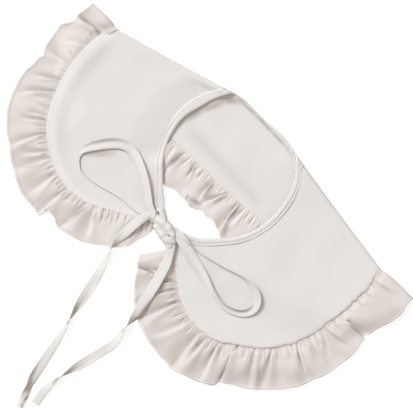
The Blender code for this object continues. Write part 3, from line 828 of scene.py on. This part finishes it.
def under_front(mark):
    """Greatest height of the back's ruffle under the fronts, whose neck edges press it flat."""
    at = mark - HEM.starts["back"]
    away = max(SHOWN_BACK[0] - at, at - SHOWN_BACK[1])
    return UNDER_NECK + UNDER_RISE * max(away - UNDER_REACH, 0.0)


@lru_cache(maxsize=None)
def panel_look(mark, blend=14.0):
    """Look of the ruffle at a mark, blended over a stretch round the panels' ends."""
    marks = [clamp(mark + blend * step / 4.0, 0.0, HEM.length) for step in range(-2, 3)]
    looks = [PANEL_LOOKS[panel_at(place)] for place in marks]
    return PanelLook(*(sum(values) / len(looks) for values in zip(*looks)))


@lru_cache(maxsize=None)
def edge_shift(mark):
    """How far the ruffle's edge runs out past its sections at a mark."""
    edge, _ = cloth(HEM.station(mark), EDGE)
    return sum(out * bell((edge - place).length, radius) for place, radius, out in EDGE_PLACES)


@lru_cache(maxsize=None)
def hem_heading(mark):
    """Direction of the hem seam in the plan."""
    ahead, _ = cloth(HEM.station(mark + HEADING_STEP), SEAM)
    behind, _ = cloth(HEM.station(mark - HEADING_STEP), SEAM)
    return level_way(behind, ahead)


def ruffle_shape(mark, across):
    """Height of the ruffle over its base, how far its edge is drawn in, its fold and its painted shade.
    """
    out = clamp(across)
    look = panel_look(mark)
    puff = look.root + look.puff * ease(out / 0.2) * (1.0 - 0.5 * ease((out - 0.2) / 0.8))
    low, ridge, notch, fold, shade = 1.0, 0.0, 0.0, 0.0, 0.0
    for row in MAIN_CREASES.near(mark):
        away = (mark - row.at - row.lean * out) * look.gentle * row.side
        width = row.width * (SEAM_WIDTH + WIDENING * out)
        if abs(away) > 9.0 * width + 4.0:
            continue
        fade = ease((out - row.begin) / 0.10 + 1.0)
        fade *= 1.0 - ease((out - 0.55 * row.reach) / (0.6 * row.reach))
        steep = STEEP_SIDE - STEEPENING * row.line
        valley = row.depth * fade * bell(away, (GENTLE_SIDE if away > 0.0 else steep) * width)
        low *= 1.0 - CREASE_DEPTH * valley
        # Painted dark line of shade at the crease's bottom, and painted shade in its valley
        line = row.line * fade * bell(away + 0.15, LINE_HALF_WIDTH * (1.0 + 0.1 * row.width))
        shade = max(shade, CREASE_SHADE * valley, line)
        ridge += look.ridge * row.ridge * fade * ease(out / 0.25) * (
            bell(away + 1.9 * width, 1.1 * width) + 0.35 * bell(away - 4.6 * width, 2.2 * width)
        )
        notch += row.notch * bell(away + 0.5, 0.8 * row.width + 1.5) * out ** 3
        side = row.side if look.gentle > 0.0 else -row.side
        fold += side * row.lap * fade * ease(out / 0.2) * bell(away + 1.6 * width, 1.5 * width)
    for row in FINE_GATHERS.near(mark):
        away = mark - row.at - row.lean * out
        fade = 1.0 - ease((out - 0.3 * row.reach) / (0.8 * row.reach))
        valley = look.gather * row.depth * fade * bell(away, row.width * (0.8 + 3.0 * out))
        low *= 1.0 - GATHER_DEPTH * valley
        # Painted shade in the gather's valley
        shade = max(shade, GATHER_SHADE * valley)
    calm = sum(
        row.share * bell(mark - HEM.starts[row.panel] - row.at, row.reach) for row in CALM_STRETCHES
    )
    drift = waver(mark / 13.0, 1.6 * out, 3.0)
    soft = (0.15 + look.wave * (1.0 - calm) * out) * clamp(0.5 + 0.75 * drift)
    height = (puff + soft) * low + ridge
    notch += 0.9 * waver(mark / 9.0, 0.0, 9.0) * out ** 2
    # look.shade adds painted shade over the whole panel, painted light below 0
    return max(height, 0.0), notch, fold, clamp(shade + look.shade, -0.3)


def ruffle_point(mark, across):
    """Middle of the ruffle's wall; across runs from the seam at 0 to the outer edge at 1."""
    station = HEM.station(mark)
    place, rise = cloth(station, SEAM + max(across, -0.9))
    root, _ = cloth(station, SEAM)
    height, notch, fold, _ = ruffle_shape(mark, across)
    notch -= edge_shift(mark) * clamp(across) ** 2
    if in_fold(station):
        height *= 0.5 + 0.5 * math.cos(math.pi * fold_turn(station))
        fold = 0.0
    ends = clamp(min(mark, HEM.length - mark) / END_TAPER)
    shift = level_way(place, root) * notch + hem_heading(mark) * fold
    arch = math.sin(math.pi * clamp(across)) ** 0.7
    for side, middle in FOLD_MIDDLES.items():
        bulge = FOLD_BULGE[side] * bell(mark - middle, FOLD_BULGE_REACH) * arch
        shift += FOLD_OUTWARD[side].to_3d() * bulge
    if hidden(mark):
        height = min(height, under_front(mark))
    else:
        here = (place + shift).to_2d()
        dip = pocket_at(here, POCKET_PLACES)[1]
        height = min(max(height - dip, 0.0), pressed(here))
    return place + shift + rise * (height * ends) + UP * (VOILE / 2.0 + 0.1)


def ruffle_shade(mark, across):
    """Painted shade at a place of the ruffle, with its stitch row darker, or below 0 how far its hem
    lightens.
    """
    shade = ruffle_shape(mark, across)[3]
    if hidden(mark):
        return shade
    # Painted shade in the ruffle's deep pockets
    deep = pocket_at(ruffle_point(mark, across).to_2d(), POCKET_PLACES)[0]
    if deep:
        shade = max(shade, deep)
    uneven = 0.6 + 0.6 * waver(mark / 7.0, 2.0, 6.0)
    hem = bell(across - HEM_FOLD, HEM_FOLD_WIDTH) * uneven * panel_look(mark).hem
    stitch = HEM_STITCH_SHADE * bell(across - HEM_STITCHES, HEM_STITCH_WIDTH) * uneven
    return max(shade, stitch) - 0.5 * hem * (1.0 - shade)


# Building of pieces

def bent_sheet(name, along, across, point, wall, thickness, cut, shade):
    """Grid with every vertex moved to point(share along, share across), given a wall.

    thickness(share, line) is the share of the wall at a place, and cut is the size in metres
    that the sheet's UV map spans, so that its weave keeps its scale. shade(share, line) is how
    much the cloth's colour deepens at a place, as painted shade and darker stitch rows, and
    below 0 how much it lightens, as painted light and a lighter hem line.
    """
    bpy.ops.mesh.primitive_grid_add(x_subdivisions=along, y_subdivisions=across, size=1.0)
    piece = bpy.context.object
    piece.name = piece.data.name = name
    wall_group = piece.vertex_groups.new(name="wall")
    shade_values = []
    for vertex in piece.data.vertices:
        share, line = vertex.co.x + 0.5, vertex.co.y + 0.5
        wall_group.add([vertex.index], clamp(thickness(share, line), 0.02, 1.0), "REPLACE")
        shade_values.append(shade(share, line))
        vertex.co = (point(share, line) - CENTRE) * MM
    piece.data.attributes.new("shade", "FLOAT", "POINT")
    piece.data.attributes["shade"].data.foreach_set("value", shade_values)
    for corner in piece.data.uv_layers.active.data:
        corner.uv = (corner.uv[0] * cut[0], corner.uv[1] * cut[1])
    solid = piece.modifiers.new("wall", "SOLIDIFY")
    solid.thickness = wall * MM
    solid.offset = 0.0
    solid.vertex_group = "wall"
    bpy.ops.object.modifier_apply(modifier=solid.name)
    piece.data.shade_smooth()
    return piece


def finish_piece(piece, material, node):
    piece.data.materials.clear()
    piece.data.materials.append(material)
    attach(piece, "root")
    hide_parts(node)


# Materials

class Wire:
    """Node socket with arithmetic, so that shader maths reads as expressions."""

    def __init__(self, shop, socket):
        self.shop, self.socket = shop, socket

    def __add__(self, other):
        return self.shop.maths("ADD", self, other)

    def __sub__(self, other):
        return self.shop.maths("SUBTRACT", self, other)

    def __rsub__(self, other):
        return self.shop.maths("SUBTRACT", other, self)

    def __mul__(self, other):
        return self.shop.maths("MULTIPLY", self, other)

    __radd__, __rmul__ = __add__, __mul__


class NodeShop:
    """Nodes of a material or a world, under construction round its shader."""

    def __init__(self, owner, shader):
        owner.use_nodes = True
        self.tree = owner.node_tree
        self.shader = self.tree.nodes[shader]

    def add(self, kind, settings=None, inputs=None, output=0):
        """New node with its settings and the values or links of its sockets."""
        node = self.tree.nodes.new(kind)
        for key, value in (settings or {}).items():
            setattr(node, key, value)
        self.feed(node, inputs or {})
        return Wire(self, node.outputs[output])

    def feed(self, node, inputs):
        for key, value in inputs.items():
            if isinstance(value, Wire):
                self.tree.links.new(value.socket, node.inputs[key])
            else:
                node.inputs[key].default_value = value

    def maths(self, operation, *values):
        return self.add("ShaderNodeMath", {"operation": operation}, dict(enumerate(values)))

    def noise(self, where, scale, detail):
        return self.add("ShaderNodeTexNoise", {}, {"Vector": where, "Scale": scale, "Detail": detail})

    def clamped(self, value):
        return self.add("ShaderNodeClamp", {}, {0: value})

    def parts(self, where):
        """The first two coordinates of a place."""
        first = self.add("ShaderNodeSeparateXYZ", {}, {0: where})
        return first, Wire(self, first.socket.node.outputs[1])

    def mix(self, share, first, second):
        """One colour or wire blended into a second colour."""
        first = first if isinstance(first, Wire) else (*first, 1.0)
        return self.add(
            "ShaderNodeMix", {"data_type": "RGBA"}, {0: share, 6: first, 7: (*second, 1.0)}, output=2,
        )


PATCH_TINT = (0.965, 0.99, 0.965)
FLECK_TONE = (1.0, 0.99, 0.97)
# Painted light where the shade attribute is below 0, also the ruffle's lighter hem line
LIGHT_TONE = (0.93, 0.915, 0.90)
# Painted shade where the shade attribute is above 0, also the darker stitch rows
SHADE_TONE = (0.495, 0.432, 0.392)
# Deepest painted shade, in crease lines, pockets and pits, also the dark of stitch holes
DEEP_SHADE_AND_STITCH_HOLE_TONE = (0.22, 0.16, 0.12)
SLUB_SCALE = 900.0
TONE_SCALE = 22.0
PATCH_SCALE = 9.0

STITCH = 0.0026
STITCH_HALF_WIDTH = 0.0003
STITCH_OVER_WEAVE = 2.5


def cloth_finish(name, colour, warm, thread, roughness, sheen, bump, sewn_at, turned=0.0):
    """Plain weave on the sheet's UV map: threads, slubs, soft tone changes, a matt sheen, and painted
    shade and painted light.

    sewn_at is how far across the sheet, in metres, its row of stitches runs.
    """
    material = bpy.data.materials.new(name)
    made = NodeShop(material, "Principled BSDF")
    where = made.add("ShaderNodeUVMap")
    sewn, off = made.parts(where)
    off = made.maths("ABSOLUTE", off - sewn_at)
    row = made.clamped(1.0 - off * (1.0 / STITCH_HALF_WIDTH))
    beat = made.maths("SINE", sewn * (2.0 * math.pi / STITCH))
    stitch = row * made.clamped(beat * 3.0 + 2.2)
    hole = row * made.clamped(beat * -3.0 - 2.2)
    if turned:
        turn = (0.0, 0.0, math.radians(turned))
        where = made.add("ShaderNodeMapping", {}, {"Vector": where, "Rotation": turn})
    along, down = made.parts(where)
    pitch = 2.0 * math.pi / thread
    slub = made.noise(where, SLUB_SCALE, 3.0)
    warp = made.maths("SINE", along * pitch + slub * 2.5)
    weft = made.maths("SINE", down * pitch + slub * 2.5)
    weave = warp * weft * 0.5 + slub * 0.6
    broad = made.noise(where, TONE_SCALE, 3.0)
    patch = made.clamped(made.noise(where, PATCH_SCALE, 1.0) * 3.0 - 1.2) * 0.5
    shade = made.add("ShaderNodeAttribute", {"attribute_name": "shade"}, output=2)
    tone = made.mix(broad, colour, warm)
    tone = made.mix(patch, tone, [c * t for c, t in zip(colour, PATCH_TINT)])
    tone = made.mix(weave * 0.06 + 0.02, tone, FLECK_TONE)
    # Painted light, painted shade and deepest painted shade from the mesh's shade attribute
    tone = made.mix(made.clamped(shade * -1.0), tone, LIGHT_TONE)
    tone = made.mix(made.clamped(shade * 2.0), tone, SHADE_TONE)
    tone = made.mix(made.clamped(shade * 2.0 - 1.0), tone, DEEP_SHADE_AND_STITCH_HOLE_TONE)
    tone = made.mix(hole * 0.7, tone, DEEP_SHADE_AND_STITCH_HOLE_TONE)
    height = weave + stitch * STITCH_OVER_WEAVE
    relief = made.add(
        "ShaderNodeBump", {}, {"Strength": 0.5, "Distance": bump * MM, "Height": height},
    )
    made.feed(made.shader, {
        "Base Color": tone,
        "Roughness": roughness + 0.06 * broad,
        "Sheen Weight": sheen,
        "Sheen Roughness": 0.45,
        "Specular IOR Level": 0.25,
        "Normal": relief,
    })
    return material


TIE_TONES = {"colour": (0.78, 0.755, 0.73), "warm": (0.765, 0.74, 0.71)}
TIE_WEAVE = {"thread": 0.00045, "roughness": 0.76, "sheen": 0.15, "bump": 0.05, "turned": 45.0}
BODY_CLOTH = cloth_finish(
    "body_cloth", colour=(0.79, 0.757, 0.735), warm=(0.765, 0.73, 0.705), thread=0.00045,
    roughness=0.80, sheen=0.15, bump=0.05, sewn_at=0.1125,
)
VOILE_CLOTH = cloth_finish(
    "ruffle_voile", colour=(0.775, 0.72, 0.685), warm=(0.75, 0.69, 0.655), thread=0.0004,
    roughness=0.84, sheen=0.2, bump=0.04, sewn_at=0.0392,
)
TIE_CLOTH = cloth_finish("tie_cloth", sewn_at=0.0077, **TIE_TONES, **TIE_WEAVE)
BAND_CLOTH = cloth_finish("band_cloth", sewn_at=0.0051, **TIE_TONES, **TIE_WEAVE)


# Pieces

BODY_CELLS = {"left": 140, "left_fold": 16, "back": 160, "right_fold": 16, "right": 200}
BODY_LINES = 64
BODY_FIRST = BAND - 0.18
COLUMNS = [
    part + cell / count for part, count in enumerate(BODY_CELLS.values()) for cell in range(count)
] + [float(len(BODY_CELLS))]

# Soft crease in the back's cloth, along a line between two pixels
BACK_CREASE = (on_plan(188.0, 128.0), on_plan(262.0, 206.0))
BACK_CREASE_HALF_WIDTH = 6.2
BACK_CREASE_DEPTH = 1.35
# The body's soft waves, and its hem seams: their roll, the left front's painted light beside
# the hem and painted shade on its rim, and the right front's puckers and painted seam shadow
BODY_WAVE = 0.9
BODY_WAVE_SPAN = 34.0
HEM_ROLL = 7.0
HEM_ROLL_RUN = 17.0
HEM_PAINTED_LIGHT = 0.3
HEM_RIM_SHADE = 0.12
HEM_PUCKER = 2.2
HEM_PUCKER_SPAN = 4.5
SEAM_SHADOW_SPAN = 3.0
# The collar's cut, opened out flat at its shoulders, in metres
BODY_UV = (1.0, 0.115)


def column_station(share):
    return COLUMNS[round(share * (len(COLUMNS) - 1))]


def rounded(line, ends):
    """Share of the wall left near the two long edges of a sheet, so that they look rounded."""
    return quarter_round(min(line, 1.0 - line) / ends)


def back_relief(place):
    """Rise of the back's cloth by its crease, and the crease's painted shade."""
    a, b = BACK_CREASE
    way = (b - a).to_2d()
    along = (place - a).to_2d().dot(way) / way.length_squared
    side = (place - a).to_2d().cross(way.normalized())
    fade = ease(along / 0.15 + 0.3) * ease((1.0 - along) / 0.2 + 0.3)
    width = BACK_CREASE_HALF_WIDTH
    rise = BACK_CREASE_DEPTH * fade * (
        0.6 * bell(side - 2.2 * width, 1.6 * width)
        + 0.3 * bell(side + 2.4 * width, 2.0 * width)
        - bell(side, width)
    )
    return rise, 0.12 * fade * bell(side, width)


def collar_body():
    def station_line(share, across):
        return column_station(share), BODY_FIRST + (SEAM - BODY_FIRST) * across

    def point(share, across):
        station, line = station_line(share, across)
        place, _ = cloth(station, line)
        hem, _ = cloth(station, SEAM)
        inset = (place - hem).length
        calm = 0.0 if in_fold(station) else ease(across / 0.1)
        flat = ease(min(abs(station - 1.0), abs(station - 4.0)) / 0.06)
        soft = BODY_WAVE * waver(place.x / BODY_WAVE_SPAN, place.y / BODY_WAVE_SPAN, 2.0)
        roll = 0.12 * (1.0 - ease((inset - HEM_ROLL) / 5.0))
        if station < 1.0:
            full = ease((station - 0.3) / 0.25) * ease((0.97 - station) / 0.1)
            roll = (0.5 + 1.5 * full) * (1.0 - ease((inset - HEM_ROLL) / HEM_ROLL_RUN))
        rest = calm * flat * (soft + roll)
        if 2.0 <= station <= 3.0:
            rest += calm * ease(across / 0.15) * ease((1.0 - across) / 0.08) * back_relief(place)[0]
        if station > 4.0:
            inner = cloth(station, SEAM - 0.1)[0]
            pucker = HEM_PUCKER * waver(hem.x / HEM_PUCKER_SPAN, hem.y / HEM_PUCKER_SPAN, 11.0)
            place = place + (inner - hem).normalized() * pucker * ease((across - 0.95) / 0.05)
        return place + UP * (BODY_WALL / 2.0 + max(rest, -0.3))

    def thickness(share, across):
        return 0.85 * quarter_round((1.0 - across) / 0.035) + 0.02

    def shade(share, across):
        station, line = station_line(share, across)
        place = cloth(station, line)[0]
        # Right front: uneven painted shadow of its hem along the seam
        if station > 4.0:
            seam_shadow = 0.55 + 0.9 * waver(place.x / SEAM_SHADOW_SPAN, place.y / SEAM_SHADOW_SPAN, 8.0)
            return 0.5 * seam_shadow * ease((across - 0.98) / 0.02) * ease((station - 4.08) / 0.05)
        # Left front: painted light beside its hem, painted shade on its rim and painted shadow beside
        # its loop
        if station < 2.0:
            inset = (place - cloth(station, SEAM)[0]).length
            lit = HEM_PAINTED_LIGHT * (1.0 - ease((inset - 6.0) / 8.0)) * ease((1.0 - station) / 0.05)
            rim = ease((across - 0.972) / 0.02)
            beside = pocket_at(place.to_2d(), LOOP_SHADE_PLACES)[0]
            return max(beside, HEM_RIM_SHADE * rim) - lit * (1.0 - rim)
        # Back: painted shade in its crease, and painted shadow beside what lies over it
        crease = back_relief(place)[1] if station <= 3.0 else 0.0
        return max(crease, pocket_at(place.to_2d(), BACK_SHADE_PLACES)[0])

    piece = bent_sheet(
        "collar_cloth", len(COLUMNS) - 1, BODY_LINES, point, BODY_WALL, thickness, BODY_UV, shade,
    )
    finish_piece(piece, BODY_CLOTH, "collar_body")


BINDING_LINES = 24
BINDING_GROOVE = 0.64
BINDING_UV = (0.52, 0.007)


def neck_binding():
    def wavy(station, seed):
        return waver(station * 16.0, seed, 0.0)

    def groove_at(station):
        return BINDING_GROOVE + 0.04 * wavy(station, 3.0)

    def plain(station):
        """How far the left front's groove has faded, near the shoulder."""
        return 0.9 * ease((station - 0.62) / 0.12) * (1.0 if station <= 1.0 else 0.0)

    def point(share, across):
        station = column_station(share)
        place, _ = cloth(station, NECK + (BAND - NECK) * across)
        pucker = 0.25 * wavy(station, 1.0) + 0.12 * waver(station * 60.0, across * 4.0, 2.0)
        return place + UP * (BINDING_WALL / 2.0 + pucker)

    def thickness(share, across):
        station = column_station(share)
        groove = groove_at(station)
        if across < groove:
            ribs = rounded(across / groove, 0.42)
        else:
            ribs = 0.72 * rounded((across - groove) / (1.0 - groove), 0.45)
        return 0.2 + 0.75 * (ribs + (rounded(across, 0.3) - ribs) * plain(station))

    def shade(share, across):
        station = column_station(share)
        uneven = (0.75 + 0.5 * wavy(station, 6.0)) * (1.0 if station > 2.6 else 0.65)
        uneven *= 1.0 - plain(station)
        # Painted shade in the groove and along the outer edge, and on the back painted shadow from its
        # shade rows
        line = 0.34 * bell(across - groove_at(station), 0.05)
        lines = uneven * (line + 0.4 * ease((across - 0.95) / 0.05))
        if not 2.0 <= station <= 3.0:
            return clamp(lines)
        place, _ = cloth(station, NECK + (BAND - NECK) * across)
        return clamp(max(lines, pocket_at(place.to_2d(), BACK_SHADE_PLACES)[0]))

    piece = bent_sheet(
        "neck_band", len(COLUMNS) - 1, BINDING_LINES, point, BINDING_WALL, thickness, BINDING_UV,
        shade,
    )
    finish_piece(piece, BAND_CLOTH, "neck_binding")


RUFFLE_LINES = 34
RUFFLE_CELL = 0.5
RUFFLE_CUT = 0.042
# The back's ruffle starts this far past the folds, with a gap to the next one
RUFFLE_JOIN = 34.0
RUFFLE_GAP = 0.3


def ruffle(name, first, last):
    strip = (last - first) * RUFFLE_FULLNESS * MM

    def mark_out(share, across):
        """Mark and share of the ruffle's width, with the rows closer together at the seam."""
        return first + share * (last - first), across ** 1.15 * (1.0 + RUFFLE_TUCK) - RUFFLE_TUCK

    def point(share, across):
        return ruffle_point(*mark_out(share, across))

    def thickness(share, across):
        hem = ease((mark_out(share, across)[1] - 1.0 + HEM_WIDTH / RUFFLE_WIDTH) / 0.01)
        return (VOILE + HEM_EXTRA * hem) / (VOILE + HEM_EXTRA)

    def shade(share, across):
        return ruffle_shade(*mark_out(share, across))

    piece = bent_sheet(
        name + "_cloth", round((last - first) / RUFFLE_CELL), RUFFLE_LINES, point,
        VOILE + HEM_EXTRA, thickness, (strip, RUFFLE_CUT), shade,
    )
    finish_piece(piece, VOILE_CLOTH, name)


TIE_CELLS = 8
TIE_LINES = 20
# Width of a tie between its rounded edges and over them, in metres
TIE_UV = (0.26, 0.009)
# Painted shade along both edges of a tie
TIE_EDGE_SHADE = 0.17
# The sewn line along a tie and its painted shade, how far in its edges curl, and the painted
# shade of an edge that curls up higher than CURL_LIT
TIE_SEAM = 0.84
TIE_SEAM_WIDTH = 0.035
TIE_SEAM_SHADE = 0.16
CURL_REACH = 0.38
CURL_LIT = 1.3
CURL_SHADE = 0.14


def tie(name, route, held, *rests_on):
    last = len(route) - 1
    route = [TiePoint(*row) for row in route]
    rows = [(*on_plan(row.px, row.py).xy, *row[2:]) for row in route]

    def strap(row):
        """Place, height, roll, width and curls of the strap at a place counted in rows."""
        x, y, low, roll, width, right, left = smooth(rows, row)
        roll = math.radians(roll)
        if math.cos(roll) < 0.0:
            right, left = left, right
        return x, y, low, roll, width, right, left

    def point(share, across):
        row = share * last
        x, y, low, roll, width, right, left = strap(row)
        ahead, behind = smooth(rows, row + 0.1), smooth(rows, row - 0.1)
        heading = Vector((ahead[0] - behind[0], ahead[1] - behind[1], 0.0)).normalized()
        side = UP.cross(heading) * math.cos(roll) + UP * math.sin(roll)
        half = abs(math.sin(roll)) * width / 2.0 + abs(math.cos(roll)) * TIE_WALL / 2.0
        place = Vector((x, y, low + half + TIE_CLEAR)) + side * (width * (across - 0.5))
        curl = right * clamp(1.0 - across / CURL_REACH) ** 2
        curl += left * clamp(1.0 - (1.0 - across) / CURL_REACH) ** 2
        return place + UP * (front_lift(place.x, place.y) + curl)

    def seam(across):
        return bell(across - TIE_SEAM, TIE_SEAM_WIDTH)

    def thickness(share, across):
        return 0.2 + 0.78 * rounded(across, 0.16) - 0.22 * seam(across)

    def shade(share, across):
        right, left = strap(share * last)[-2:]
        # Painted shade on high curled edges, along both edges and in the sewn groove, and deep painted
        # shade where the ties twist or cross
        curl = max(right - CURL_LIT, 0.0) * (1.0 - ease((across - CURL_REACH) / 0.12))
        curl += max(left - CURL_LIT, 0.0) * (1.0 - ease((1.0 - across - CURL_REACH) / 0.12))
        rim = TIE_EDGE_SHADE * (1.0 - ease(min(across, 1.0 - across) / 0.05))
        deep = pocket_at(point(share, across).to_2d(), TIE_SHADE_PLACES)[0]
        return clamp(max(CURL_SHADE * curl + rim + TIE_SEAM_SHADE * seam(across), deep))

    piece = bent_sheet(
        name + "_strap", last * TIE_CELLS, TIE_LINES, point, TIE_THIN, thickness, TIE_UV, shade,
    )
    finish_piece(piece, TIE_CLOTH, name)
    middles = [on_plan(row.px, row.py, row.low) for row in route]
    length = sum((b - a).length for a, b in zip(middles, middles[1:])) * MM


KNOT_MIDDLE = (165.5, 231.5)
KNOT_RINGS = 44
KNOT_SPOKES = 132
KNOT_SIGHT = 24.0
KNOT_BLEND = 9.0
KNOT_FOOT = 0.8
KNOT_RIPPLE = 0.3


def knot_stretches():
    """Stretches of the knot's folds, each between two places with their half widths and tops."""
    found = []
    for fold in KNOT_FOLDS:
        points = [(on_plan(px, py), half_width, top) for px, py, half_width, top in fold]
        found += zip(points, points[1:])
    return found


KNOT_STRETCHES = knot_stretches()


def knot_height(place):
    """Height of the knot's folds over its bottom at a point of the plan, or below 0 outside."""
    total = 0.0
    for (a, a_half, a_top), (b, b_half, b_top) in KNOT_STRETCHES:
        along, away = nearest(place, a, b)
        away /= a_half + along * (b_half - a_half)
        if away < 1.0:
            rise = a_top + along * (b_top - a_top) - KNOT_BOTTOM
            total += (rise * (1.0 - away ** 2.6) ** 0.5) ** KNOT_BLEND
    return total ** (1.0 / KNOT_BLEND) if total > 0.0 else -1.0


def knot():
    middle = on_plan(*KNOT_MIDDLE)
    shape = bmesh.new()
    shade = shape.verts.layers.float.new("shade")
    crown = shape.verts.new(middle)
    reaches = []
    for spoke in range(KNOT_SPOKES):
        angle = 2.0 * math.pi * spoke / KNOT_SPOKES
        way = Vector((math.cos(angle), math.sin(angle), 0.0))
        reach = KNOT_SIGHT
        while knot_height(middle + way * reach) < 0.0:
            reach -= 0.1
        reaches.append(way * reach)
    rings = []
    for ring in range(1, KNOT_RINGS + 1):
        share = math.sin(0.5 * math.pi * ring / KNOT_RINGS)
        rings.append([shape.verts.new(middle + reach * share) for reach in reaches])
    under = shape.verts.new(middle)
    lower = [shape.verts.new(middle + reach * KNOT_FOOT) for reach in reaches]
    for vertex in shape.verts:
        height = max(knot_height(vertex.co), 0.0)
        # Painted shade in the knot's pits and creases, which also dip
        vertex[shade], dip = pocket_at(vertex.co.to_2d(), KNOT_CREASE_PLACES)
        ripple = KNOT_RIPPLE * waver(vertex.co.x / 2.6, vertex.co.y / 2.6, 5.0)
        vertex.co.z = max(KNOT_BOTTOM + 0.5 + (height - dip) + ripple, KNOT_BOTTOM)
    for vertex in [under, *lower]:
        vertex.co.z = KNOT_BOTTOM - 0.3
    for spoke in range(KNOT_SPOKES):
        after = (spoke + 1) % KNOT_SPOKES
        shape.faces.new((crown, rings[0][spoke], rings[0][after]))
        for ring, outer in zip(rings, rings[1:] + [lower]):
            shape.faces.new((ring[spoke], outer[spoke], outer[after], ring[after]))
        shape.faces.new((under, lower[after], lower[spoke]))
    weave = shape.loops.layers.uv.new("UVMap")
    for face in shape.faces:
        for corner in face.loops:
            corner[weave].uv = (corner.vert.co.x * MM, corner.vert.co.y * MM)
    for vertex in shape.verts:
        vertex.co = (vertex.co - CENTRE) * MM
    bmesh.ops.recalc_face_normals(shape, faces=shape.faces)
    mesh = bpy.data.meshes.new("knot_cloth")
    shape.to_mesh(mesh)
    shape.free()
    piece = bpy.data.objects.new("knot_cloth", mesh)
    bpy.context.scene.collection.objects.link(piece)
    piece.data.shade_smooth()
    finish_piece(piece, TIE_CLOTH, "knot")


# Floor, lights and camera

FLOOR_SIZE = 6.0
FLOOR_DROP = 0.0002
FLOOR_GLOW = 0.72
SKY_STRENGTH = 0.52
UNDER_LIGHT = (0.75, 0.62, 0.52)
SKY_TONE = (1.06, 0.99, 0.92)
KEY_TONE = (0.94, 1.01, 1.08)
KEY_STRENGTH = 2.3
KEY_ELEVATION = math.radians(43.0)
KEY_TURN = math.radians(175.0)
KEY_SOFTNESS = math.radians(22.0)


def floor():
    bpy.ops.mesh.primitive_plane_add(size=FLOOR_SIZE, location=(0.0, 0.0, -FLOOR_DROP))
    plane = bpy.context.object
    plane.name = "floor"
    material = bpy.data.materials.new("floor_white")
    made = NodeShop(material, "Principled BSDF")
    made.feed(made.shader, {
        "Base Color": (0.5, 0.5, 0.5, 1.0),
        "Roughness": 0.9,
        "Specular IOR Level": 0.1,
        "Emission Color": (1.0, 1.0, 1.0, 1.0),
        "Emission Strength": FLOOR_GLOW,
    })
    plane.data.materials.append(material)
    plane.visible_diffuse = False


def studio():
    world = bpy.data.worlds.new("studio")
    bpy.context.scene.world = world
    made = NodeShop(world, "Background")
    way = made.add("ShaderNodeTexCoord", output="Generated")
    height = made.add("ShaderNodeSeparateXYZ", {}, {0: way}, output=2)
    blend = made.add(
        "ShaderNodeMapRange", {}, {"From Min": -0.1, "From Max": 0.1, "Value": height},
    )
    sky = made.mix(blend, UNDER_LIGHT, SKY_TONE)
    made.feed(made.shader, {"Color": sky, "Strength": SKY_STRENGTH})

    level = math.cos(KEY_ELEVATION)
    way = -Vector((level * math.cos(KEY_TURN), level * math.sin(KEY_TURN), math.sin(KEY_ELEVATION)))
    bpy.ops.object.light_add(type="SUN", location=-0.5 * way)
    lamp = bpy.context.object
    lamp.name = "key"
    lamp.data.energy = KEY_STRENGTH
    lamp.data.color = KEY_TONE
    lamp.data.angle = KEY_SOFTNESS
    lamp.rotation_euler = way.to_track_quat("-Z", "Y").to_euler()
    bpy.context.scene.view_settings.view_transform = "Standard"

    middle = (VIEW_CENTRE - CENTRE) * MM
    bpy.ops.object.camera_add(location=middle + UP * (PHOTO_SIDE * MM * LENS / SENSOR))
    camera = bpy.context.object
    camera.name = "camera"
    camera.rotation_euler = (0.0, 0.0, PHOTO_TURN)
    camera.data.lens = LENS
    camera.data.sensor_width = SENSOR
    camera.data.dof.use_dof = False
    bpy.context.scene.camera = camera


collar_body()
neck_binding()
back_start = HEM.starts["back"] + RUFFLE_JOIN
back_end = HEM.starts["right_fold"] - RUFFLE_JOIN
ruffle("ruffle_left", 0.0, back_start - RUFFLE_GAP)
ruffle("ruffle_back", back_start, back_end)
ruffle("ruffle_right", back_end + RUFFLE_GAP, HEM.length)
tie("loop_left", LOOP_LEFT, "folded", "collar_cloth")
tie("loop_right", LOOP_RIGHT, "folded", "collar_cloth")
tie("tail_left", TAIL_LEFT, "laid", "ruffle_left_cloth", "floor")
tie("tail_right", TAIL_RIGHT, "laid", "ruffle_right_cloth", "floor")
knot()
floor()
studio()
